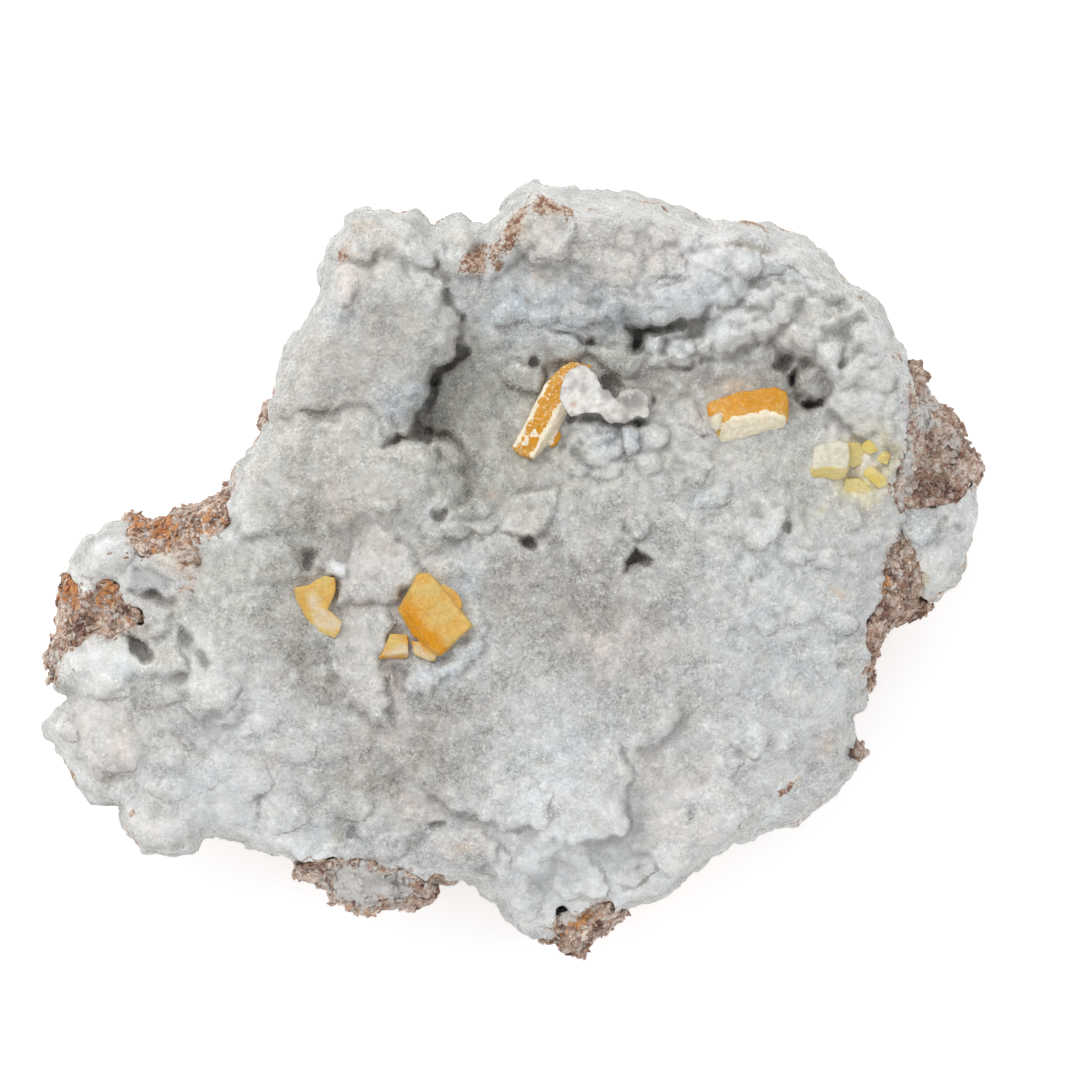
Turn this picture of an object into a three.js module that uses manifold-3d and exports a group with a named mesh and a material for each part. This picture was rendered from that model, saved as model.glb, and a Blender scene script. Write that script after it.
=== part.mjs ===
// A hand specimen of wulfenite: orange tabular crystals on a thick crust of drusy calcite, which
// grew over a block of brown limonite. The block shows where the crust has broken away, at the
// left corner, along the right flank and at two toes on the front edge. All the calcite that
// grew together is one piece, its domes, ledges and blades included.
//
// Millimetres, +Z up. X runs along the specimen's length and Y across it. The origin is under the
// middle of the specimen's box, on the surface that it rests on. The display face looks up.

import * as THREE from "three";
import { mergeVertices } from "three/addons/utils/BufferGeometryUtils.js";
import Module from "manifold-3d";

// Driving dimensions.
const FACE_LEVEL = 23; // height of the display face between its rises and hollows
const CRUST_THICKNESS = 5; // calcite over limonite, measured straight down
const CRUST_SKIRT = 9; // height of the crust's lower edge, where it hangs over the limonite
const CRUST_SKIRT_WAVE = 1.5; // how far that edge rises and falls
const CRUST_LIP = 12; // height at which the crust's side is upright
const CRUST_RIM = 4; // how far in from its outline the crust starts to round over
const CRUST_UNDERCUT = 1.6; // how far the skirt draws in below the lip
const ROCK_WAIST = 10; // height at which the limonite block is widest
const ROCK_RIM = 3; // how far in from its outline the limonite starts to round over
const BASE_INSET = 9.5; // from the block's outline to the flat patch that it rests on
const GAP = 0.3; // between a crystal and the crust that grew against it
const ROCK_GAP = 0.5; // how far the limonite is grown before the calcite is cut by it
const LOBE_SIDES = 14; // facets round a rounded mass of calcite, and from its top to its base
const LOBE_RINGS = 7;
const BLADE_BEVEL = 0.7; // along the edges of a blade of calcite
const TABLET_BEVEL = 0.2; // along a crystal's edges
const TABLET_CLIP = 0.16; // how much of a half side each corner of a crystal loses

// Outlines seen from above, counterclockwise.
const CRUST_OUTLINE = [
  [39.0, 10.0], [39.1, 15.0], [39.3, 19.0], [39.0, 23.0], [38.2, 25.5], [36.2, 27.5],
  [33.8, 29.3], [31.5, 31.5], [29.5, 33.3], [26.5, 34.6], [20.5, 34.9], [18.0, 36.0],
  [15.0, 37.2], [9.0, 37.9], [6.0, 38.4], [2.7, 38.8], [0.5, 38.0], [-0.7, 36.0],
  [-2.2, 34.5], [-4.0, 35.3], [-6.2, 35.7], [-7.4, 34.4], [-8.6, 35.8], [-11.0, 36.0],
  [-14.0, 36.5], [-16.3, 35.8], [-17.5, 33.5], [-18.8, 31.5], [-19.2, 27.5], [-21.0, 24.5],
  [-22.5, 22.5], [-23.5, 19.5], [-24.7, 17.0], [-24.9, 14.5], [-26.5, 12.0], [-28.5, 8.3],
  [-28.6, 6.0], [-29.8, 2.0], [-31.0, -2.0], [-33.5, -4.0], [-36.5, -6.5], [-41.5, -8.2],
  [-44.2, -10.2], [-44.6, -12.6], [-47.3, -15.2], [-46.6, -17.0], [-44.5, -20.5], [-43.0, -23.0],
  [-39.8, -23.8], [-39.0, -25.8], [-37.0, -28.0], [-34.5, -28.8], [-32.3, -28.5], [-30.5, -27.0],
  [-28.5, -26.8], [-25.5, -28.0], [-23.0, -28.7], [-21.5, -29.8], [-18.5, -29.6], [-12.8, -28.8],
  [-10.5, -30.0], [-7.8, -31.6], [-4.0, -31.6], [-2.5, -32.7], [-1.0, -34.8], [1.8, -36.8],
  [3.6, -36.8], [5.0, -33.8], [9.2, -32.8], [11.5, -34.4], [14.5, -33.3], [17.0, -31.0],
  [20.0, -29.0], [22.5, -27.5], [24.5, -27.3], [26.0, -26.2], [28.5, -25.6], [31.0, -23.5],
  [33.5, -21.5], [35.5, -18.7], [34.4, -16.5], [34.5, -14.8], [35.6, -12.8], [35.2, -11.0],
  [35.5, -8.0], [36.3, -5.0], [37.3, -2.0], [38.6, 2.0], [38.9, 6.0],
];
const ROCK_OUTLINE = [
  [47.3, 10.0], [46.2, 13.0], [45.8, 14.5], [43.0, 16.5], [41.8, 18.5], [40.5, 20.5],
  [37.5, 22.5], [35.0, 25.0], [31.0, 28.5], [26.0, 31.0], [19.0, 31.5], [13.0, 34.0],
  [5.0, 35.0], [0.5, 34.0], [-2.5, 31.5], [-7.5, 31.0], [-13.0, 33.0], [-15.5, 30.0],
  [-16.5, 25.0], [-20.0, 19.0], [-21.5, 14.5], [-25.0, 9.5], [-29.5, 7.6], [-33.5, 6.3],
  [-35.0, 5.1], [-37.5, 5.5], [-41.0, 3.5], [-43.0, 1.3], [-45.0, -0.7], [-45.2, -3.2],
  [-45.4, -6.0], [-46.3, -8.5], [-45.8, -11.5], [-44.0, -13.2], [-42.0, -17.0], [-39.0, -20.5],
  [-35.0, -24.0], [-30.5, -23.5], [-26.0, -25.0], [-22.5, -28.2], [-21.3, -30.6], [-18.5, -31.5],
  [-17.8, -33.5], [-14.8, -34.8], [-12.0, -34.2], [-8.5, -33.5], [-7.4, -31.2], [-6.0, -28.8],
  [-3.0, -29.0], [0.5, -32.5], [3.0, -35.0], [4.5, -37.2], [5.5, -38.4], [7.2, -38.8],
  [9.0, -36.5], [11.2, -34.6], [12.5, -32.0], [16.0, -28.5], [22.0, -24.5], [27.5, -22.5],
  [31.5, -18.5], [32.5, -14.5], [36.0, -12.8], [36.9, -10.5], [37.2, -8.5], [39.0, -6.0],
  [41.4, -4.2], [41.6, -1.5], [42.3, 2.0], [43.6, 5.0], [46.6, 7.4],
];

// Broad rises and hollows of the display face: [x, y, spread, rise].
const SWELLS = [
  [-3, 13, 6, -7.5], // floor of the deep cleft beside the upper left block
  [-7, -6, 4, 2.4], // mound that carries the largest crystal
  [13, 17.5, 6, -3], // hollow under the ledge
  [28.5, 18.5, 4, -3], // pocket at the right end of the bar crystal
  [-15, 4, 9, 3],
  [-30, -7, 8, 1.5],
  [15, -9, 12, 1.5],
  [-40, -16, 8, -3],
  [-9, -13, 5.5, -2.5], // hollow below the fins
  [42, 4, 8, -4],
  [8, 31, 9, 2],
  [-36, 0, 7, -2],
  [-15, -33, 6, -5], // the two toes lie well below the face
  [7, -37, 5, -5],
];

// Rounded masses of calcite that stand out of the face: [x, y, top, half length, half width,
// half height, turn in degrees].
const LOBES = [
  [-14.2, 21.8, 32.0, 9.6, 8.6, 10, -20], // upper left block
  [-13.3, 32.3, 29.5, 5.2, 3.8, 8, 0],
  [-4.8, 32.6, 27.0, 3.0, 2.6, 6, 0],
  [-16.5, 6.5, 33.0, 12.3, 8.6, 9, -12], // middle left block
  [-26.0, -4.0, 29.5, 7.0, 9.5, 9, 20],
  [-39.5, -17.3, 24.0, 6.5, 5.6, 8, -20],
  [-34.0, -22.0, 23.0, 6.0, 5.6, 8, 0],
  [-21.0, -20.0, 27.0, 13.5, 7.4, 9, -5],
  [4.5, 31.0, 31.0, 9.0, 6.4, 9, 5], // ledge, in three masses
  [14.0, 30.4, 31.5, 8.5, 6.0, 9, -5],
  [22.5, 29.3, 30.0, 7.0, 4.8, 8, -15],
  [30.0, 25.8, 28.5, 6.4, 5.4, 8, -40],
  [34.0, 18.5, 26.0, 4.2, 6.6, 7, 10],
  [2.0, -18.5, 30.0, 10.4, 10.2, 9, 15], // dome below the middle
  [12.4, -14.0, 27.8, 5.6, 4.8, 6, 0],
  [18.0, -25.0, 26.5, 6.6, 4.8, 8, 30],
  [-5.0, -27.2, 23.0, 4.0, 3.2, 6, 0],
  [6.0, -29.6, 22.0, 3.2, 3.2, 6, 0],
];
// Calcite that lies apart from the crust, low on the right flank.
const FLANK_LOBES = [
  [43.4, 3.4, 16.5, 3.6, 3.2, 4.6, 20],
  [42.0, 0.2, 15.5, 3.4, 3.2, 4.6, 0],
];

// Upright blades of calcite that grew out of the crust, by their outlines seen from above.
const BLADES = [
  {
    base: 23, // upper blade beside the largest crystal
    top: 31.5,
    outline: [
      [-13.9, 4.4], [-15.2, 2.8], [-15.8, 1.0], [-16.9, -1.0], [-17.0, -3.0], [-14.8, -4.3],
      [-11.1, -3.7], [-9.5, -1.0], [-9.3, 1.6], [-11.1, 3.6],
    ],
  },
  {
    base: 20, // lower blade, which tapers to a point
    top: 29,
    outline: [
      [-16.2, -3.8], [-17.5, -7.6], [-17.2, -11.0], [-15.8, -14.1], [-12.9, -15.9],
      [-13.0, -13.0], [-13.2, -9.6], [-12.0, -6.6], [-11.6, -3.8],
    ],
  },
  {
    base: 18, // spur beside the leaning crystal
    top: 25,
    outline: [
      [5.2, 17.6], [6.2, 19.6], [7.2, 20.4], [8.2, 19.7], [9.3, 17.8], [10.8, 17.2],
      [12.2, 18.0], [13.6, 17.7], [13.9, 15.6], [12.0, 14.9], [10.2, 14.5], [8.8, 15.4],
      [6.6, 15.3],
    ],
  },
];

// Colours and finishes.
const LIMONITE = new THREE.MeshStandardMaterial({ color: 0x7a4a2c, roughness: 0.95 });
const CALCITE = new THREE.MeshStandardMaterial({ color: 0xcfcdc6, roughness: 0.6 });
const WULFENITE = new THREE.MeshStandardMaterial({ color: 0xe8950f, roughness: 0.25 });
const PALE_WULFENITE = new THREE.MeshStandardMaterial({ color: 0xd9c27a, roughness: 0.35 });

// Wulfenite crystals. Each is one tablet, or a few that grew together, of size [length, width,
// thickness]. The crystal is tilted about its own X and Y and then turned about Z, in degrees.
const CRYSTALS = [
  {
    name: "wulfenite_block", material: WULFENITE, at: [-7.4, -4.4, 27], tilt: [0, 25], turn: 44,
    tablets: [{ size: [3.9, 6, 3] }, { size: [2.4, 3.2, 2], at: [1.4, 2.1, -0.5] }],
  },
  {
    name: "wulfenite_left_pair", material: WULFENITE, at: [-19.2, -3.1, 26.6],
    tablets: [
      { size: [3.9, 2.4, 2.6], at: [0, 1.4, 0], turn: [18, 0, 14] },
      { size: [5.2, 2.6, 2.2], at: [0, -1.4, -0.4], turn: [0, 16, -62] },
    ],
  },
  {
    name: "wulfenite_tucked", material: WULFENITE, at: [-11.4, -7.7, 25.6], tilt: [-18, 12],
    turn: 8, tablets: [{ size: [2.6, 2.2, 1.6] }],
  },
  {
    name: "wulfenite_leaning", material: WULFENITE, at: [4.1, 15.8, 20.6], tilt: [80, 0],
    turn: 58, tablets: [{ size: [10.6, 7, 2.1] }],
  },
  {
    name: "wulfenite_bar", material: WULFENITE, at: [23.8, 15.6, 22.4], tilt: [67, 0],
    turn: 6, tablets: [{ size: [8.4, 5.1, 2.6] }],
  },
  {
    name: "wulfenite_pale", material: PALE_WULFENITE, at: [32, 10.8, 21.8], tilt: [-22, 0],
    turn: 3, tablets: [{ size: [3.7, 2.6, 2.9] }],
  },
  {
    name: "wulfenite_pale_flat", material: PALE_WULFENITE, at: [34.4, 7.4, 20.4],
    tilt: [-12, 14], turn: 40, tablets: [{ size: [2.8, 2.4, 1.8] }],
  },
  {
    name: "wulfenite_bead_1", material: PALE_WULFENITE, at: [35.9, 12.3, 21.4], tilt: [25, 10],
    turn: 20, tablets: [{ size: [1.3, 1.1, 1.3] }],
  },
  {
    name: "wulfenite_bead_2", material: PALE_WULFENITE, at: [36.9, 9.6, 20.9], tilt: [-20, 15],
    turn: -35, tablets: [{ size: [1.9, 1.2, 1.4] }],
  },
  {
    name: "wulfenite_bead_3", material: PALE_WULFENITE, at: [37.6, 11.4, 20.8], tilt: [0, 30],
    turn: 60, tablets: [{ size: [1.1, 0.9, 1.2] }],
  },
];

const wasm = await Module();
wasm.setup();

// A geometry's triangles as a solid for joining and cutting.
function solidOf(geometry) {
  const bare = geometry.index ? geometry.toNonIndexed() : geometry.clone();
  bare.deleteAttribute("normal");
  bare.deleteAttribute("uv");
  const merged = mergeVertices(bare, 1e-4);
  return new wasm.Manifold(
    new wasm.Mesh({
      numProp: 3,
      vertProperties: merged.attributes.position.array,
      triVerts: new Uint32Array(merged.index.array),
    }),
  );
}

function geometryOf(solid) {
  const mesh = solid.getMesh();
  const geometry = new THREE.BufferGeometry();
  geometry.setAttribute("position", new THREE.BufferAttribute(mesh.vertProperties, 3));
  geometry.setIndex(new THREE.BufferAttribute(mesh.triVerts, 1));
  geometry.computeVertexNormals();
  return geometry;
}

// The largest of the bodies that a cut leaves. The rest are crumbs.
function mainBody(solid) {
  return solid.decompose().sort((a, b) => b.volume() - a.volume())[0];
}

// Height of the display face, before the lobes are added.
function faceHeight(x, y) {
  let z = FACE_LEVEL;
  for (const [sx, sy, spread, rise] of SWELLS) {
    z += rise * Math.exp(-((x - sx) ** 2 + (y - sy) ** 2) / (2 * spread ** 2));
  }
  return z;
}

// A closed solid of rings that shrink from an outline towards the origin. rings lists, from the
// centre of the top round the edge to the centre of the base, {share, inset, height}: each ring
// lies at share of the outline's radius, less inset. height(x, y) gives its points' heights.
function ringSolid(outline, rings) {
  const positions = [];
  const index = [];
  const count = outline.length;
  const addPoint = (x, y, height) => positions.push(x, y, height(x, y));
  addPoint(0, 0, rings[0].height);
  for (const { share = 1, inset = 0, height } of rings) {
    for (const [x, y] of outline) {
      const scale = share * (1 - inset / Math.hypot(x, y));
      addPoint(x * scale, y * scale, height);
    }
  }
  addPoint(0, 0, rings[rings.length - 1].height);
  const last = positions.length / 3 - 1;
  for (let i = 0; i < count; i += 1) {
    const next = (i + 1) % count;
    index.push(0, 1 + i, 1 + next);
    for (let ring = 0; ring < rings.length - 1; ring += 1) {
      const inner = 1 + ring * count;
      const outer = inner + count;
      index.push(inner + i, outer + i, outer + next, inner + i, outer + next, inner + next);
    }
    const bottom = last - count;
    index.push(last, bottom + next, bottom + i);
  }
  const geometry = new THREE.BufferGeometry();
  geometry.setAttribute("position", new THREE.Float32BufferAttribute(positions, 3));
  geometry.setIndex(index);
  return solidOf(geometry);
}

// How far a surface has come down from its full height, as a share, at an inset from its rim.
function rounding(inset, rim) {
  return 1 - Math.sqrt(1 - (1 - Math.min(inset / rim, 1)) ** 2);
}

// The limonite block, grown all round by margin.
function rockSolid(margin) {
  const outline = ROCK_OUTLINE.map(([x, y]) => {
    const scale = 1 + margin / Math.hypot(x, y);
    return [x * scale, y * scale];
  });
  const crown = (inset) => (x, y) => {
    const top = faceHeight(x, y) - CRUST_THICKNESS + margin;
    return top - (top - ROCK_WAIST) * rounding(inset, ROCK_RIM);
  };
  const level = (z) => () => z - margin;
  return ringSolid(outline, [
    { share: 0.3, height: crown(ROCK_RIM) },
    { share: 0.55, height: crown(ROCK_RIM) },
    { share: 0.75, height: crown(ROCK_RIM) },
    { inset: ROCK_RIM, height: crown(ROCK_RIM) },
    { inset: 0.5 * ROCK_RIM, height: crown(0.5 * ROCK_RIM) },
    { inset: 0.15 * ROCK_RIM, height: crown(0.15 * ROCK_RIM) },
    { inset: 0, height: () => ROCK_WAIST },
    { inset: 0.2 * BASE_INSET, height: level(0.5 * ROCK_WAIST) },
    { inset: 0.6 * BASE_INSET, height: level(0.16 * ROCK_WAIST) },
    { inset: BASE_INSET, height: level(0) },
  ]);
}

// A rounded mass, as one row of LOBES gives it.
function lobeSolid([x, y, top, halfLength, halfWidth, halfHeight, turn]) {
  const geometry = new THREE.SphereGeometry(1, LOBE_SIDES, LOBE_RINGS);
  geometry.rotateX(Math.PI / 2);
  geometry.scale(halfLength, halfWidth, halfHeight);
  geometry.rotateZ(THREE.MathUtils.degToRad(turn));
  geometry.translate(x, y, top - halfHeight);
  return solidOf(geometry);
}

// An upright blade with bevelled edges, from its outline seen from above.
function bladeSolid({ base, top, outline }) {
  const shape = new THREE.Shape(outline.map(([x, y]) => new THREE.Vector2(x, y)));
  const geometry = new THREE.ExtrudeGeometry(shape, {
    depth: top - base - 2 * BLADE_BEVEL,
    bevelThickness: BLADE_BEVEL,
    bevelSize: BLADE_BEVEL,
    bevelOffset: -BLADE_BEVEL,
    bevelSegments: 1,
  });
  return solidOf(geometry.translate(0, 0, base + BLADE_BEVEL));
}

// The calcite crust before anything is cut out of it.
function crustSolid() {
  const crown = (inset) => (x, y) => {
    const top = faceHeight(x, y);
    return top - (top - CRUST_LIP) * rounding(inset, CRUST_RIM);
  };
  const skirt = (x, y) => CRUST_SKIRT + CRUST_SKIRT_WAVE * Math.sin(3 * Math.atan2(y, x) + 1);
  let crust = ringSolid(CRUST_OUTLINE, [
    { share: 0.2, height: crown(CRUST_RIM) },
    { share: 0.38, height: crown(CRUST_RIM) },
    { share: 0.56, height: crown(CRUST_RIM) },
    { share: 0.73, height: crown(CRUST_RIM) },
    { inset: CRUST_RIM, height: crown(CRUST_RIM) },
    { inset: 0.4 * CRUST_RIM, height: crown(0.4 * CRUST_RIM) },
    { inset: 0.1 * CRUST_RIM, height: crown(0.1 * CRUST_RIM) },
    { inset: 0, height: crown(0) },
    { inset: CRUST_UNDERCUT, height: skirt },
    { share: 0.5, height: () => CRUST_SKIRT },
  ]);
  for (const lobe of LOBES) crust = crust.add(lobeSolid(lobe));
  for (const blade of BLADES) crust = crust.add(bladeSolid(blade));
  return crust;
}

// A tablet, lying flat about its own centre: a rectangle with clipped corners and bevelled edges.
function tablet([length, width, thickness]) {
  const bevel = TABLET_BEVEL;
  const x = length / 2 - bevel;
  const y = width / 2 - bevel;
  const clip = Math.min(x, y) * TABLET_CLIP;
  const outline = new THREE.Shape([
    new THREE.Vector2(x - clip, -y),
    new THREE.Vector2(x, clip - y),
    new THREE.Vector2(x, y - clip),
    new THREE.Vector2(x - clip, y),
    new THREE.Vector2(clip - x, y),
    new THREE.Vector2(-x, y - clip),
    new THREE.Vector2(-x, clip - y),
    new THREE.Vector2(clip - x, -y),
  ]);
  const geometry = new THREE.ExtrudeGeometry(outline, {
    depth: thickness - 2 * bevel,
    bevelThickness: bevel,
    bevelSize: bevel,
    bevelSegments: 1,
  });
  return geometry.translate(0, 0, bevel - thickness / 2);
}

// A rotation by angles in degrees about X, then Y, then Z.
function turned(angles) {
  return new THREE.Euler(...angles.map(THREE.MathUtils.degToRad), "ZYX");
}

// A crystal's solid in its own frame, with each tablet grown all round by margin.
function crystalSolid({ tablets }, margin = 0) {
  let crystal = null;
  for (const { size, at = [0, 0, 0], turn = [0, 0, 0] } of tablets) {
    const seat = new THREE.Matrix4().makeRotationFromEuler(turned(turn));
    seat.setPosition(...at);
    const solid = solidOf(tablet(size.map((side) => side + 2 * margin)).applyMatrix4(seat));
    crystal = crystal ? crystal.add(solid) : solid;
  }
  return crystal;
}

const specimen = new THREE.Group();

function addPiece(name, solid, material) {
  const mesh = new THREE.Mesh(geometryOf(solid), material);
  mesh.name = name;
  specimen.add(mesh);
  return mesh;
}

const rockClearance = rockSolid(ROCK_GAP);
let crust = crustSolid().subtract(rockClearance);
for (const crystal of CRYSTALS) {
  const { name, material, at, tilt = [0, 0], turn = 0 } = crystal;
  const mesh = addPiece(name, crystalSolid(crystal), material);
  mesh.position.set(...at);
  mesh.rotation.copy(turned([...tilt, turn]));
  mesh.updateMatrixWorld(true);
  const clearance = geometryOf(crystalSolid(crystal, GAP)).applyMatrix4(mesh.matrixWorld);
  crust = crust.subtract(solidOf(clearance));
}
addPiece("limonite_matrix", rockSolid(0), LIMONITE);
addPiece("calcite_crust", mainBody(crust), CALCITE);
const [upperLobe, lowerLobe] = FLANK_LOBES.map(lobeSolid);
const patch = upperLobe.add(lowerLobe).subtract(rockClearance);
addPiece("calcite_flank_patch", mainBody(patch), CALCITE);

export default specimen;
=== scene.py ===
# The looks of a wulfenite specimen: orange tabular crystals on a drusy calcite crust over limonite.
#
# Places and sizes are in millimetres in the CAD frame, and become metres when a mesh is made.
# The display face is one map of heights, seen from above. A second map says where its surface is
# calcite and where bare limonite, and each of the two becomes a closed solid.

import math

import bmesh
import bpy
import numpy as np
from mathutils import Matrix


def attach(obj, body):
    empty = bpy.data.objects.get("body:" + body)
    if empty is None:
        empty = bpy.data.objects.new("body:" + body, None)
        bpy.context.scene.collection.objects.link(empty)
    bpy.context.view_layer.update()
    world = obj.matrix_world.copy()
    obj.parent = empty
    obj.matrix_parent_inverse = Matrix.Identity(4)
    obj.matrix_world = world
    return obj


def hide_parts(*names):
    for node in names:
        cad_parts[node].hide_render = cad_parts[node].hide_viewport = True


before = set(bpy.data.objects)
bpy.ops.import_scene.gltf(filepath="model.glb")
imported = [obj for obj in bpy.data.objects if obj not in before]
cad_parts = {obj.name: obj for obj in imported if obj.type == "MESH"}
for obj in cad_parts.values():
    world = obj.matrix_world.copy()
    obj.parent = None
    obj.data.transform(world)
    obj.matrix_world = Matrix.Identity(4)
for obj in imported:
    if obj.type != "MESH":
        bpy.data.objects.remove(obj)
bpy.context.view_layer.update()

MM = 0.001
STEP = 0.25  # pitch of the height map
CRUST_VOXEL = 0.3
CRUST_FACES = 196000
ROCK_VOXEL = 0.5
GRAINS = 26000  # drusy crystals in each of the joined meshes
GRAIN_MESHES = 2
CRUMBS = 4500  # broken bits on the bare limonite
LOWER_RIGHT = (0.6, -0.8)  # towards the shaded side of a lump, seen from above

# The specimen's outline seen from above, clockwise.
OUTLINE = [
    (-16.7, 35.7), (-14.2, 36.5), (-11.5, 35.9), (-9.2, 35.9), (-8.0, 34.2), (-6.5, 35.1),
    (-5.0, 35.7), (-2.5, 34.4), (-1.0, 35.5), (-0.5, 36.9), (1.0, 38.0), (2.2, 39.2),
    (6.5, 38.0), (11.0, 37.6), (15.0, 37.3), (16.5, 36.3), (20.2, 35.2), (25.5, 34.7),
    (29.5, 33.5), (34.0, 28.8), (35.2, 28.2), (37.5, 25.7), (38.9, 23.0), (39.7, 21.2),
    (41.2, 19.0), (41.7, 17.7), (43.5, 16.5), (45.0, 15.5), (46.0, 14.5), (46.2, 12.5),
    (46.9, 10.2), (46.8, 8.2), (46.8, 4.0), (45.7, 1.1), (44.5, -1.8), (42.5, -3.3),
    (40.7, -4.5), (38.7, -6.0), (37.0, -7.8), (36.8, -11.0), (35.5, -12.5), (35.6, -13.8),
    (34.5, -14.8), (34.6, -17.2), (35.4, -18.6), (34.0, -21.0), (32.5, -22.8), (30.5, -23.8),
    (28.5, -25.8), (25.5, -26.3), (24.0, -27.9), (22.0, -27.6), (19.0, -29.4), (16.0, -32.5),
    (14.5, -33.4), (12.0, -34.0), (9.0, -36.8), (7.3, -38.7), (5.5, -38.7), (4.8, -37.3),
    (2.5, -36.8), (0.0, -35.7), (-1.5, -33.5), (-3.2, -31.8), (-5.5, -31.4), (-7.5, -31.2),
    (-8.0, -33.3), (-9.5, -34.0), (-12.5, -34.3), (-13.7, -35.2), (-15.2, -35.0), (-16.6, -34.2),
    (-18.0, -33.3), (-18.2, -31.8), (-19.0, -31.2), (-21.3, -30.7), (-22.0, -29.6),
    (-23.0, -28.7), (-24.8, -28.3), (-27.0, -27.3), (-29.8, -26.8), (-31.0, -27.3),
    (-32.0, -28.5), (-34.5, -28.8), (-37.0, -28.5), (-37.7, -27.3), (-39.2, -25.8),
    (-39.3, -23.8), (-42.0, -23.6), (-43.5, -22.0), (-45.0, -19.3), (-46.5, -17.0),
    (-47.2, -15.5), (-44.8, -13.5), (-44.2, -12.8), (-46.0, -11.5), (-46.5, -9.0), (-46.0, -7.0),
    (-45.2, -6.2), (-45.0, -4.0), (-45.1, -0.6), (-43.6, 2.0), (-42.0, 3.8), (-39.6, 4.8), (-37.5, 4.8),
    (-34.6, 4.5), (-33.0, 5.8), (-30.6, 6.7), (-28.8, 7.9), (-27.2, 11.0), (-25.0, 14.0),
    (-24.8, 17.0), (-23.5, 19.0), (-22.5, 22.5), (-21.0, 24.5), (-19.5, 26.0), (-19.0, 28.0),
    (-18.8, 32.0), (-17.0, 34.2),
]


# ---- Maps -------------------------------------------------------------------------------------

GX, GY = np.meshgrid(np.arange(-49.5, 49.6, STEP), np.arange(-41.0, 41.1, STEP))


def spread_noise(size, seed):
    """Smooth noise of mean 0 and deviation 1 whose lumps are about size across."""
    white = np.random.default_rng(seed).standard_normal(GX.shape)
    field = blurred(white, 0.32 * size)
    return (field - field.mean()) / field.std()


def blurred(field, size):
    fy = np.fft.fftfreq(GX.shape[0], STEP)[:, None]
    fx = np.fft.fftfreq(GX.shape[1], STEP)[None, :]
    keep = np.exp(-2 * (math.pi * size) ** 2 * (fx ** 2 + fy ** 2))
    return np.fft.ifft2(np.fft.fft2(field) * keep).real


# Coordinates bent by noise, so that no drawn edge comes out straight.
BENT = (
    GX + 0.24 * spread_noise(2.8, 1) + 0.13 * spread_noise(1.0, 2),
    GY + 0.24 * spread_noise(2.8, 3) + 0.13 * spread_noise(1.0, 4),
)
RAGGED = (BENT[0] + 0.13 * spread_noise(0.9, 7), BENT[1] + 0.13 * spread_noise(0.9, 8))
NEAR = (GX + 0.1 * spread_noise(1.2, 5), GY + 0.1 * spread_noise(1.2, 6))


def line_distance(points, where, closed=False):
    """Distance from each place on the map to a line through points."""
    x, y = where
    best = np.full(x.shape, 1e9)
    ends = points[1:] + points[:1] if closed else points[1:]
    for (ax, ay), (bx, by) in zip(points, ends):
        dx, dy = bx - ax, by - ay
        t = np.clip(((x - ax) * dx + (y - ay) * dy) / max(dx * dx + dy * dy, 1e-9), 0, 1)
        best = np.minimum(best, (x - ax - t * dx) ** 2 + (y - ay - t * dy) ** 2)
    return np.sqrt(best)


def inside_distance(points, where):
    """Distance in from a closed outline, negative outside it."""
    x, y = where
    inside = np.zeros(x.shape, bool)
    for (ax, ay), (bx, by) in zip(points, points[1:] + points[:1]):
        if ay == by:
            continue
        crosses = (ay > y) != (by > y)
        inside ^= crosses & (x < (bx - ax) * (y - ay) / (by - ay) + ax)
    return np.where(inside, 1, -1) * line_distance(points, where, closed=True)


def shoulder(distance, radius):
    """0 at an edge, 1 from radius inwards, in a quarter round that starts upright."""
    t = np.clip(distance / radius, 0, 1)
    return np.sqrt(1 - (1 - t) ** 2)


def turned(x, y, rx, ry, turn, where):
    """Squared distance from an ellipse's middle, 1 on its edge."""
    c, s = math.cos(math.radians(turn)), math.sin(math.radians(turn))
    u = ((where[0] - x) * c + (where[1] - y) * s) / rx
    v = (-(where[0] - x) * s + (where[1] - y) * c) / ry
    return u * u + v * v


def soft_spot(x, y, rx, ry, turn=0, where=None):
    """1 in the middle of an ellipse, falling smoothly to about 0.14 at its edge."""
    return np.exp(-2 * turned(x, y, rx, ry, turn, BENT if where is None else where))


# ---- Relief of the display face ---------------------------------------------------------------

LIP = 12.5  # level at which the specimen is widest
OUTLINE_SHIFT = 0.1  # how far the rim lies outside the drawn outline
RIM_START = 0.05  # keeps the rim's last nodes above the lip
RIM_ROUND = 3.0  # radius of the rim, which varies between the two limits
RIM_LIMITS = (1.6, 5)

# Noise that lifts the face: size, rise, seed. The second is the same for all blocks.
SWELLS = [(9, 0.25, 10), (4, 0.16, 11)]
BLOCK_SWELL = (6, 0.25, 12)
CREASE_FILL = 0.9  # how much of the crease between a block and the face is filled
SEAT_HOLD = 0.9  # how closely a seat keeps to its level
BUMP_GAIN, COARSE_GAIN = 1.35, 0.45  # of the bumps' rise, and what coarse places add
CAPS, CAP_RADII, CAP_RISE = 3800, (0.7, 1.8), 0.42  # the small round lumps of coarse places
POCKET_EDGE = 0.7  # radius of a pocket's rounded brink
FIRST_BLUR = 0.12  # softens the blocks' edges
SMOOTHING, SMOOTHING_REACH = 0.8, 0.5  # of the lumps on smooth places

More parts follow.
